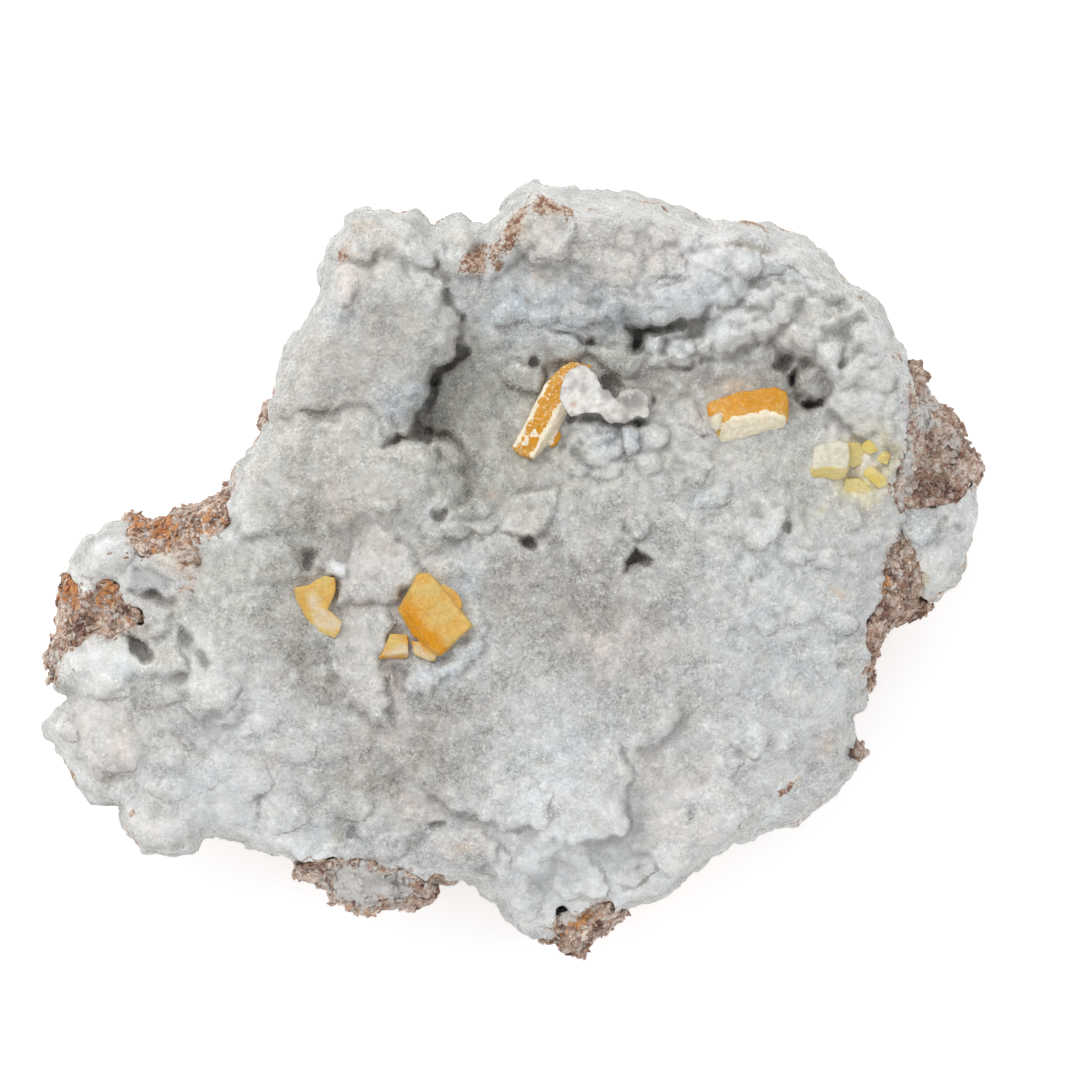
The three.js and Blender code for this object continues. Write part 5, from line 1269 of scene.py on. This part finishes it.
def joined_shells(name, shells):
    """One object of several closed shells, each given as its vertices and faces."""
    vertices, faces = [], []
    for some_vertices, some_faces in shells:
        faces += [[i + len(vertices) for i in face] for face in some_faces]
        vertices += some_vertices
    piece = mesh_object(name, vertices, faces)
    build = bmesh.new()
    build.from_mesh(piece.data)
    bmesh.ops.recalc_face_normals(build, faces=build.faces)
    build.to_mesh(piece.data)
    build.free()
    return piece


def hull(points):
    """Vertices and faces of the convex body round points."""
    build = bmesh.new()
    for point in points:
        build.verts.new(point)
    bmesh.ops.convex_hull(build, input=build.verts)
    loose = [v for v in build.verts if not v.link_faces]
    bmesh.ops.delete(build, geom=loose, context="VERTS")
    build.verts.index_update()
    vertices = [tuple(v.co) for v in build.verts]
    faces = [[v.index for v in face.verts] for face in build.faces]
    build.free()
    return vertices, faces


def softened(piece, rounds, factor=0.5):
    smooth = piece.modifiers.new("soft", "SMOOTH")
    smooth.iterations, smooth.factor = rounds, factor
    return applied(piece)


# Each crystal is the union of convex bodies round these points.
CRYSTALS = {
    "wulfenite_block": [
        [(-9.3, -1.6, 28.8), (-9.1, -0.5, 28.9), (-8.1, -0.4, 29.0), (-7.2, -1.3, 29.0),
         (-3.8, -5.5, 28.7), (-6.9, -8.2, 28.1), (-7.6, -8.0, 28.1), (-10.2, -3.9, 28.5),
         (-11.2, -3.9, 27.3), (-9.8, -6.3, 26.9), (-7.5, -8.5, 26.9), (-6.9, -8.6, 27.2),
         (-3.6, -5.5, 27.7), (-6.2, -2.4, 27.9), (-8.0, -0.2, 28.0), (-9.3, -0.2, 27.9),
         (-9.6, -1.7, 27.7), (-10.4, -3.5, 24.9), (-7.5, -7.6, 24.9), (-4.4, -5.2, 24.9),
         (-6.5, -1.6, 24.9), (-9.0, -1.2, 24.9)],
        [(-7.4, -1.8, 28.4), (-6.6, -1.4, 28.4), (-5.6, -1.9, 28.4), (-4.8, -2.9, 28.3),
         (-4.7, -3.7, 28.2), (-6.4, -4.2, 28.2), (-6.6, -1.5, 25.6), (-4.9, -3.0, 25.6),
         (-5.2, -3.9, 25.6)],
        [(-9.9, -7.0, 27.0), (-8.6, -7.3, 27.1), (-7.3, -8.7, 27.0), (-7.4, -9.1, 26.6),
         (-8.2, -9.1, 26.6), (-9.6, -8.4, 26.6), (-9.6, -7.4, 25.2), (-8.0, -8.8, 25.2),
         (-7.8, -7.6, 25.2)],
    ],
    "wulfenite_left_pair": [
        [(-20.1, -1.5, 27.8), (-18.5, -0.5, 28.0), (-17.4, -0.7, 28.0), (-17.3, -2.0, 27.8),
         (-18.0, -3.1, 27.5), (-18.2, -4.0, 27.3), (-19.5, -2.9, 27.4), (-19.8, -1.7, 24.9),
         (-17.6, -1.0, 24.9), (-18.2, -3.4, 24.9)],
        [(-21.5, -1.8, 27.5), (-20.1, -1.5, 27.7), (-19.3, -3.0, 27.4), (-21.4, -3.0, 26.6),
         (-20.3, -4.9, 26.6), (-18.3, -4.2, 27.2), (-21.0, -2.2, 24.9), (-20.0, -4.4, 24.9),
         (-18.9, -3.4, 24.9)],
        [(-19.3, -3.0, 27.3), (-18.2, -4.0, 27.2), (-16.7, -5.2, 27.0), (-16.9, -6.2, 26.7),
         (-17.5, -6.9, 26.5), (-19.2, -6.2, 26.4), (-20.4, -4.8, 26.5), (-18.8, -3.6, 24.9),
         (-17.4, -6.2, 24.9), (-19.8, -4.9, 24.9)],
    ],
    "wulfenite_tucked": [
        [(-11.9, -6.3, 26.8), (-10.2, -6.4, 26.7), (-10.1, -8.2, 26.6), (-12.8, -8.6, 26.6),
         (-13.2, -8.9, 26.1), (-10.2, -8.8, 26.0), (-12.9, -8.5, 24.8), (-10.2, -8.4, 24.8),
         (-10.3, -6.6, 24.8), (-12.0, -6.5, 24.8)],
    ],
    "wulfenite_leaning": [
        [(0.2, 12.3, 22.5), (3.4, 18.5, 23.3), (5.3, 20.5, 23.7), (6.2, 20.9, 23.8),
         (8.2, 20.5, 23.4), (8.0, 19.4, 23.4), (5.6, 17.2, 24.1), (2.3, 11.2, 22.8),
         (0.9, 11.4, 22.3), (0.6, 11.8, 21.9), (6.0, 16.3, 21.8), (4.1, 12.8, 21.2),
         (2.4, 10.9, 21.2), (1.2, 12.4, 18.4), (3.6, 17.0, 18.4), (6.2, 19.6, 18.6),
         (7.4, 19.4, 18.6), (5.6, 16.2, 18.4), (3.6, 12.8, 18.4)],
        [(3.9, 13.4, 22.0), (4.9, 14.0, 22.0), (5.2, 13.4, 21.9), (4.6, 12.4, 21.8),
         (4.0, 12.2, 21.7), (4.0, 12.6, 18.6), (4.8, 13.4, 18.6)],
    ],
    "wulfenite_bar": [
        [(19.6, 16.3, 23.7), (19.9, 16.8, 23.9), (21.4, 17.3, 24.2), (23.1, 17.9, 24.4),
         (26.5, 18.3, 24.4), (27.6, 17.8, 24.2), (27.9, 16.6, 24.3), (27.8, 14.9, 23.8),
         (20.0, 14.6, 24.3), (21.3, 14.6, 24.7), (22.2, 15.2, 25.0), (23.9, 15.7, 25.1),
         (25.6, 15.9, 25.1), (26.9, 15.4, 25.0), (27.6, 15.1, 24.6), (20.9, 13.2, 23.3),
         (21.1, 12.7, 22.8), (21.6, 12.7, 22.6), (25.3, 13.9, 22.9), (27.4, 14.3, 23.2),
         (20.4, 15.8, 20.0), (27.0, 16.8, 20.0), (21.4, 13.6, 20.0), (26.9, 14.8, 20.0)],
    ],
    "wulfenite_pale": [
        [(30.4, 12.3, 23.2), (31.4, 12.7, 23.2), (32.9, 12.9, 23.2), (33.8, 12.7, 23.1),
         (34.0, 11.6, 23.1), (33.6, 10.2, 23.3), (30.3, 10.2, 23.4), (30.0, 9.9, 22.9),
         (30.2, 9.3, 22.3), (32.9, 9.0, 22.3), (33.5, 9.3, 22.4), (33.9, 10.1, 22.5),
         (30.6, 12.0, 20.3), (34.0, 12.0, 20.3), (33.4, 9.8, 20.3), (30.5, 9.8, 20.3)],
        [(33.4, 12.7, 22.4), (35.0, 12.8, 22.0), (35.7, 11.8, 21.7), (35.4, 10.6, 21.6),
         (34.2, 10.2, 21.8), (33.4, 11.0, 22.3), (33.8, 12.2, 20.0), (35.0, 12.0, 19.8),
         (34.8, 10.9, 19.8)],
    ],
    "wulfenite_pale_flat": [
        [(33.5, 9.2, 21.8), (35.0, 9.1, 21.7), (36.1, 8.2, 21.6), (35.9, 7.0, 21.2),
         (35.2, 6.2, 20.9), (34.0, 6.8, 21.1), (33.3, 8.0, 21.4), (33.8, 8.8, 19.4),
         (35.6, 8.0, 19.4), (34.9, 6.7, 19.4), (33.9, 7.4, 19.4)],
    ],
    "wulfenite_bead_1": [
        [(35.2, 12.7, 22.0), (36.0, 13.3, 22.1), (37.0, 12.8, 22.0), (37.0, 11.9, 22.0),
         (36.0, 11.5, 22.1), (35.1, 12.0, 21.9), (36.0, 12.4, 22.4), (36.4, 12.0, 19.8),
         (35.4, 12.2, 19.8), (36.4, 12.8, 19.8)],
    ],
    "wulfenite_bead_2": [
        [(35.6, 10.4, 21.8), (36.4, 10.4, 22.0), (37.7, 9.2, 21.9), (37.7, 8.4, 21.6),
         (36.9, 8.1, 21.6), (35.3, 9.5, 21.7), (36.6, 9.4, 22.2), (35.8, 9.6, 19.6),
         (37.2, 8.7, 19.6)],
    ],
    "wulfenite_bead_3": [
        [(36.8, 12.1, 21.7), (37.7, 12.2, 21.7), (38.1, 11.5, 21.6), (37.7, 10.5, 21.6),
         (36.6, 10.8, 21.7), (37.4, 11.4, 22.0), (37.1, 11.6, 19.6), (37.7, 11.2, 19.6)],
    ],
}
# How strongly fine pale specks cover a crystal.
SPECKLED = {"wulfenite_leaning": 1.0, "wulfenite_bar": 0.3}
FAINT_SPECKS = 0.12
# Patchy frost on the crystals, and cream films: outlines seen from above.
FROST = [
    [(-12.6, -8.2), (-10.4, -7.4), (-10.0, -8.4), (-12.2, -8.7)],
    [(-20.2, -2.4), (-19.4, -2.4), (-18.8, -3.6), (-17.6, -4.6), (-18.2, -5.6), (-19.4, -4.4)],
    [(-9.6, -7.4), (-7.6, -8.6), (-8.4, -9.2), (-9.6, -8.2)],
    [(-19.6, -4.2), (-17.6, -4.4), (-16.6, -5.6), (-17.6, -6.2), (-19.4, -5.6)],
]
CREAM = [
    [(1.9, 11.1), (5.1, 17.2), (6.2, 16.3), (4.0, 12.4), (2.6, 10.6)],
    [(-0.1, 12.3), (0.62, 12.3), (2.05, 15.0), (3.2, 17.3), (4.05, 18.9), (3.6, 19.6), (1.4, 17.6)],
    [(1.2, 12.6), (1.6, 13.3), (1.9, 13.0), (1.7, 12.6)],
    [(2.1, 13.3), (2.3, 14.6), (2.6, 14.2), (2.6, 13.4)],
    [(0.8, 11.9), (1.1, 12.2), (1.3, 11.7)],
    [(20.0, 15.4), (21.0, 15.6), (21.2, 14.6), (20.4, 13.4), (19.8, 14.4)],
    [(20.7, 12.4), (20.8, 13.4), (21.3, 14.5), (22.2, 15.2), (23.9, 15.7), (25.6, 15.9),
     (26.9, 15.4), (27.5, 15.1), (27.8, 14.0), (25.0, 13.0)],
    [(30.2, 10.3), (33.5, 10.3), (34.0, 11.8), (33.8, 13.2), (30.2, 12.8)],
]
# Faces whose colour is deep throughout: outlines seen from above.
DEEP_FACES = [
    [(-11.5, -3.7), (-9.9, -2.7), (-9.1, -4.1), (-8.3, -5.5), (-7.4, -6.3), (-6.2, -8.0),
     (-6.5, -9.0), (-9.8, -6.8)],
]
DEEP = [
    (-8.8, -5.5, 3.9, 1.4, -54, 0.5),
    (-5.3, -2.9, 0.9, 1.2, 30, 0.3), (-8.6, -0.8, 0.8, 0.5, 0, 0.5), (2.6, 14.0, 5.0, 2.4, 60, 1.0),
    (5.0, 18.0, 4.0, 2.4, 50, 1.0), (7.6, 20.0, 2.0, 1.4, 0, 1.0), (24.0, 16.9, 6.0, 2.2, 6, 1.0),
    (20.0, 15.6, 1.2, 2.0, 0, 1.0), (-11.6, -8.8, 1.8, 0.35, 0, 1.0), (-9.9, -7.0, 0.6, 0.5, 0, 1.0),
    (-17.4, -1.6, 0.3, 1.2, 0, 0.7), (4.6, 13.0, 1.0, 1.4, -30, 1.0), (31.9, 9.4, 2.4, 0.6, 3, 0.3),
    (36.2, 8.9, 1.6, 1.0, -30, 0.8), (36.0, 12.4, 1.0, 1.0, 0, 0.7), (37.5, 11.4, 0.8, 1.0, 0, 0.6),
    (35.0, 11.9, 1.2, 1.2, 0, 0.45), (-5.2, -3.0, 0.8, 1.3, 35, 0.35),
]


def inside_share(outlines, where, wobble, softness):
    """1 inside any of the outlines, 0 outside them, over a soft and ragged edge."""
    share = np.zeros(len(wobble))
    for outline in outlines:
        inward = (inside_distance(outline, where) + wobble) / softness
        share = np.maximum(share, np.clip(inward + 0.5, 0, 1))
    return share


def crystal(name):
    piece = joined_shells(name + "_grown", [hull(points) for points in CRYSTALS[name]])
    small = "bead" in name or "flat" in name or "tucked" in name
    remeshed(piece, 0.09 if small else 0.12)
    softened(piece, 3 if small else 2)
    roughened(piece, [(1.6, 0.07, 60), (0.6, 0.045, 61), (0.28, 0.022, 62)])
    places = vertex_array(piece.data)
    at = (places[:, 0], places[:, 1])
    wobble = 0.25 * lattice_noise(places, 0.9, 63) + 0.12 * lattice_noise(places, 0.35, 64)
    deep = inside_share(DEEP_FACES, at, wobble, 0.9)
    for x, y, rx, ry, turn, strength in DEEP:
        deep = np.maximum(deep, strength * soft_spot(x, y, rx * 1.3, ry * 1.3, turn, at))
    put(piece, "deep", deep)
    put(piece, "cream", inside_share(CREAM, at, wobble, 0.22))
    put(piece, "frost", inside_share(FROST, at, wobble, 0.6))
    put(piece, "speckle", np.full(len(places), SPECKLED.get(name, FAINT_SPECKS)))
    return piece


def paint(piece):
    """Stores the maps' values. The outer sides, which the maps don't reach, get patches instead."""
    places = vertex_array(piece.data)
    wall = np.maximum(wall_share(places), sampled(steep_map, places))
    broad, fine = lattice_noise(places, 3.5, 46), lattice_noise(places, 1.2, 47)
    foot = np.clip((WALL_FOOT - places[:, 2]) / 3, 0, 1)
    rusty = np.clip(0.9 * broad + 0.4 * fine + 0.5 * foot, 0, 1)
    for key, field, plain in (("stain", stain_map, rusty), ("hollow_shade", hollow_shade_map, 0.12),
                              ("cavity_shading", cavity_shading_map, 1 + 0.12 * fine), ("lobe", lobe_map, -9),
                              ("lobe_shadow_share", lobe_shadow_share, 0), ("grain", grain_map, 0.5)):
        put(piece, key, sampled(field, places) * (1 - wall) + plain * wall)
    tint = np.stack([sampled(colour_map[..., i], places) for i in range(3)], 1)
    plain = np.array(CALCITE) * (1 + 0.10 * broad + 0.05 * fine)[:, None]
    put_colour(piece, "tint", tint + wall[:, None] * (plain - tint))


def broken_up(values, places, normals):
    """A map's values on the rock, broken up by patches where its sides are steep."""
    steep = np.clip(1.2 - 2 * normals[:, 2], 0, 1)
    patches = np.clip(0.35 + 1.2 * lattice_noise(places, 2.6, 48), 0, 1)
    return values * (1 + steep * (patches - 1))


def spots_on(base, count, rng, where):
    """Random places on the upper faces of a piece, with their normals."""
    mesh = base.data
    mesh.calc_loop_triangles()
    corners = np.empty(len(mesh.loop_triangles) * 3, np.int32)
    mesh.loop_triangles.foreach_get("vertices", corners)
    places = vertex_array(mesh)
    a, b, c = (places[corners.reshape(-1, 3)[:, i]] for i in range(3))
    cross = np.cross(b - a, c - a)
    area = np.linalg.norm(cross, axis=1)
    up = cross[:, 2] / np.maximum(area, 1e-9)
    weight = area * np.clip(up * 2 + 0.4, 0, 1) * sampled(where, (a + b + c) / 3)
    weight[area > 1] = 0
    pick = rng.choice(len(area), count, p=weight / weight.sum())
    u, v = rng.random(count), rng.random(count)
    flip = u + v > 1
    u[flip], v[flip] = 1 - u[flip], 1 - v[flip]
    centre = a[pick] + u[:, None] * (b - a)[pick] + v[:, None] * (c - a)[pick]
    return centre, cross[pick] / area[pick][:, None]


def scattered(name, base, count, seed, where, sizes, tall, lean, sides, rings, jitter):
    """One mesh of small closed bodies that grow out of a piece. rings lists (width, height) from
    the top down, as shares of each body's half width and height."""
    rng = np.random.default_rng(seed)
    centre, normal = spots_on(base, count, rng, where)
    axis = normal + lean * rng.standard_normal((count, 3))
    axis /= np.linalg.norm(axis, axis=1)[:, None]
    side = np.cross(axis, rng.standard_normal((count, 3)))
    side /= np.linalg.norm(side, axis=1)[:, None]
    other = np.cross(axis, side)
    size = sizes[0] + (sizes[1] - sizes[0]) * rng.random(count) ** 2
    high = size * rng.uniform(*tall, count)
    points = [centre + axis * high[:, None]]
    for width, height in rings:
        for k in range(sides):
            angle = 2 * math.pi * k / sides
            reach = size * width * (1 + jitter * rng.uniform(-1, 1, count))
            arm = math.cos(angle) * side + math.sin(angle) * other
            level = high * (height + 0.3 * jitter * rng.uniform(-1, 1, count))
            points.append(centre + arm * reach[:, None] + axis * level[:, None])
    points.append(centre - axis * (0.5 * size)[:, None])
    per_body = len(points)
    vertices = np.stack(points, 1).reshape(-1, 3)
    pattern = [(0, 1 + k, 1 + (k + 1) % sides) for k in range(sides)]
    for ring in range(len(rings) - 1):
        for k in range(sides):
            p, q = 1 + ring * sides + k, 1 + ring * sides + (k + 1) % sides
            pattern += [(p, p + sides, q + sides), (p, q + sides, q)]
    last = 1 + (len(rings) - 1) * sides
    pattern += [(last + k, per_body - 1, last + (k + 1) % sides) for k in range(sides)]
    faces = per_body * np.arange(count)[:, None, None] + np.array(pattern)[None]
    piece = mesh_object(name, vertices, faces.reshape(-1, 3).tolist(), smooth=False)
    put(piece, "own", np.repeat(rng.random(count), per_body))
    return piece


def finish_piece(piece, material, slot, *nodes):
    """Gives a piece its material, hides the nodes it replaces and hangs it on the root body."""
    piece.data.materials.clear()
    piece.data.materials.append(material)
    if nodes:
        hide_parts(*nodes)
    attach(piece, "root")


# Orange ochre and pale crusts on the limonite: x, y, half length, half width, turn, strength.
ORANGE = [
    (-41, -4, 5, 4, 0, 0.35), (-33, 3.5, 5, 3, 0, 0.4), (-43.8, -2.0, 1.6, 2.4, 0, 1.0),
    (-40.6, -2.2, 1.0, 2.4, 0, 0.8), (-34.8, 4.2, 2.0, 1.4, 40, 0.9), (-37.0, 4.8, 1.0, 1.0, 0, 0.9),
    (-30.0, 5.0, 2.6, 1.6, 30, 0.6), (7.0, -35.0, 3.0, 2.0, 40, 0.6),
    (37.8, 0.0, 0.8, 3.4, -10, 0.7), (32.0, -18.0, 1.4, 1.4, 0, 0.6), (-14, -34, 4, 1, 0, 0.5),
]
PALE = [
    (39.5, 12, 0.9, 9, 3, 0.9), (39, 0, 1.6, 3, 0, 0.4), (-33, 5.4, 3, 1.2, 15, 0.4),
    (32, -19, 4, 4, 0, 0.7), (-14, -31.5, 5, 2.2, 0, 1.2), (42, 15.5, 2, 3, 0, 0.7),
    (-39.5, -3, 3, 3, 0, 0.3), (-31, 3, 3, 3, 0, 0.25), (-38.5, -4.5, 1.8, 1.5, 0, 0.4),
    (-45, -9.5, 1.5, 2.0, 0, 0.6), (30, -23, 4, 2.0, 40, 0.8), (5.5, -34.5, 1.4, 1.6, 0, 0.8),
    (44.5, 12.5, 1.6, 1.4, 0, 0.5), (-36.0, 3.0, 1.4, 1.4, 0, 0.3),
]


def build_crust(calcite, druse):
    """The crust's face and the small crystals that grow on it."""
    crust = crust_piece()
    paint(crust)
    rough_map = (1 - 0.8 * smooth_map) * (0.1 + grain_map)
    for i in range(GRAIN_MESHES):
        grains = scattered(f"calcite_druse_{i + 1}", crust, GRAINS, 50 + i, rough_map, (0.08, 0.20),
                           (0.3, 0.8), 0.4, 3, [(1.0, -0.2)], 0.2)
        paint(grains)
        finish_piece(grains, druse, "calcite")
    finish_piece(crust, calcite, "calcite", "calcite_crust", "calcite_flank_patch")


def build_rock(limonite):
    """The rock and the broken bits on its bare faces, fewer where it has a pale crust."""
    rock = rock_piece()
    orange_map, pale_map = spot_map(ORANGE), spot_map(PALE)
    crumb_map = np.where(bare_soft > 0.45, 1.0, 0.0) * (1 - 0.85 * np.clip(pale_map, 0, 1))
    crumbs = scattered("limonite_crumbs", rock, CRUMBS, 80, crumb_map, (0.16, 0.6), (0.3, 0.8), 0.5,
                       5, [(0.75, 0.6), (1.0, 0.0)], 0.35)
    on_crumbs, on_rock = vertex_array(crumbs.data), vertex_array(rock.data)
    normals = normal_array(rock.data)
    for key, field in (("orange", orange_map), ("pale", pale_map)):
        put(crumbs, key, sampled(field, on_crumbs))
        put(rock, key, broken_up(sampled(field, on_rock), on_rock, normals))
    put(rock, "own", np.full(len(on_rock), 0.5))
    finish_piece(crumbs, limonite, "limonite")
    finish_piece(rock, limonite, "limonite", "limonite_matrix")


def plate_tint(places):
    """The plates' colour: greyer along the arm, yellowish on the knob by the bar."""
    at = (places[:, 0], places[:, 1])
    layers = [(strength * soft_spot(x, y, rx, ry, turn, at), PLATE_SPECK)
              for x, y, rx, ry, turn, strength in PLATE_SPECKS]
    layers += [(0.55 * np.clip((places[:, 0] - ARM_START) / 3, 0, 1), ARM_COLOUR),
               (0.9 * np.clip(2 * soft_spot(12.4, 17.0, 1.5, 1.1, 0, at), 0, 1), ARM_END),
               (np.clip(2 * soft_spot(20.7, 14.8, 1.0, 1.2, 0, at), 0, 1), KNOB)]
    colour = np.empty(places.shape)
    colour[:] = PLATE_COLOUR
    for share, tint in layers:
        colour += share[:, None] * (np.array(tint) - colour)
    return colour


def build_plates(calcite):
    """The cap and arm beside the leaning crystal, and the bits of calcite by the bar."""
    plates = joined_shells("calcite_plates", [plate_solid(*plate) for plate in PLATES.values()])
    remeshed(plates, 0.15)
    softened(plates, 2)
    roughened(plates, [(2.2, 0.22, 70), (0.8, 0.16, 71), (0.4, 0.09, 72)])
    paint(plates)
    places = vertex_array(plates.data)
    put_colour(plates, "tint", plate_tint(places))
    for key, value in (("hollow_shade", 0), ("grain", 0.05), ("lobe", -9)):
        put(plates, key, np.full(len(places), value))
    finish_piece(plates, calcite, "calcite")


def build_crystals():
    """All the wulfenite, the pale ones in a yellow of their own."""
    orange = wulfenite_material(
        "wulfenite", (0.68, 0.48, 0.16), (0.67, 0.27, 0.002), (0.98, 0.85, 0.64))
    yellow = wulfenite_material(
        "pale_wulfenite", (0.70, 0.58, 0.33), (0.72, 0.55, 0.10), (0.73, 0.68, 0.545))
    for name in CRYSTALS:
        pale = "pale" in name or "bead" in name
        slot = "pale_wulfenite" if pale else "wulfenite"
        finish_piece(crystal(name), yellow if pale else orange, slot, name)


# ---- Stage ------------------------------------------------------------------------------------

FLOOR = 3000  # half its width
LAMP_PLACE = (-0.35, 0.45, 0.75)  # in metres, like the lamp's size
LAMP_SIZE = 0.5


def stage():
    """A plain pale floor, soft light from all round and a softbox at the upper left."""
    corners = [(-FLOOR, -FLOOR, 0), (FLOOR, -FLOOR, 0), (FLOOR, FLOOR, 0), (-FLOOR, FLOOR, 0)]
    floor = mesh_object("floor", corners, [(0, 1, 2, 3)])
    n = Nodes("floor")
    n.set(Base_Color=(0.9, 0.9, 0.9, 1.0), Roughness=0.9)
    n.set(Emission_Color=(1.0, 1.0, 1.0, 1.0), Emission_Strength=0.42)
    floor.data.materials.append(n.material)

    world = bpy.data.worlds.new("studio")
    world.use_nodes = True
    background = world.node_tree.nodes["Background"]
    background.inputs["Color"].default_value = (0.93, 0.97, 1.0, 1)
    background.inputs["Strength"].default_value = 0.86
    bpy.context.scene.world = world

    lamp = bpy.data.lights.new("softbox", "AREA")
    lamp.shape = "RECTANGLE"
    lamp.size, lamp.size_y = LAMP_SIZE, LAMP_SIZE
    lamp.energy = 3.6
    light = bpy.data.objects.new("softbox", lamp)
    light.location = LAMP_PLACE
    light.rotation_euler = (-light.location).to_track_quat("-Z", "Y").to_euler()
    bpy.context.scene.collection.objects.link(light)


VIEW_X, VIEW_Y = 3.0, 3.75  # the point of the face under the picture's centre
VIEW_WIDTH = 108.0  # what the picture spans at VIEW_LEVEL
VIEW_LEVEL = 22.0
VIEW_HEIGHT = 1600.0  # of the camera over VIEW_LEVEL


def camera():
    """Looks straight down on the display face from far off."""
    data = bpy.data.cameras.new("camera")
    data.sensor_width = 36.0
    data.lens = data.sensor_width * VIEW_HEIGHT / VIEW_WIDTH
    data.clip_end = 20.0
    eye = bpy.data.objects.new("camera", data)
    eye.location = (VIEW_X * MM, VIEW_Y * MM, (VIEW_LEVEL + VIEW_HEIGHT) * MM)
    bpy.context.scene.collection.objects.link(eye)
    bpy.context.scene.camera = eye


calcite = calcite_material()
build_crust(calcite, grain_material())
build_rock(limonite_material())
build_plates(calcite)
build_crystals()
stage()
camera()
bpy.context.scene.view_settings.view_transform = "Standard"
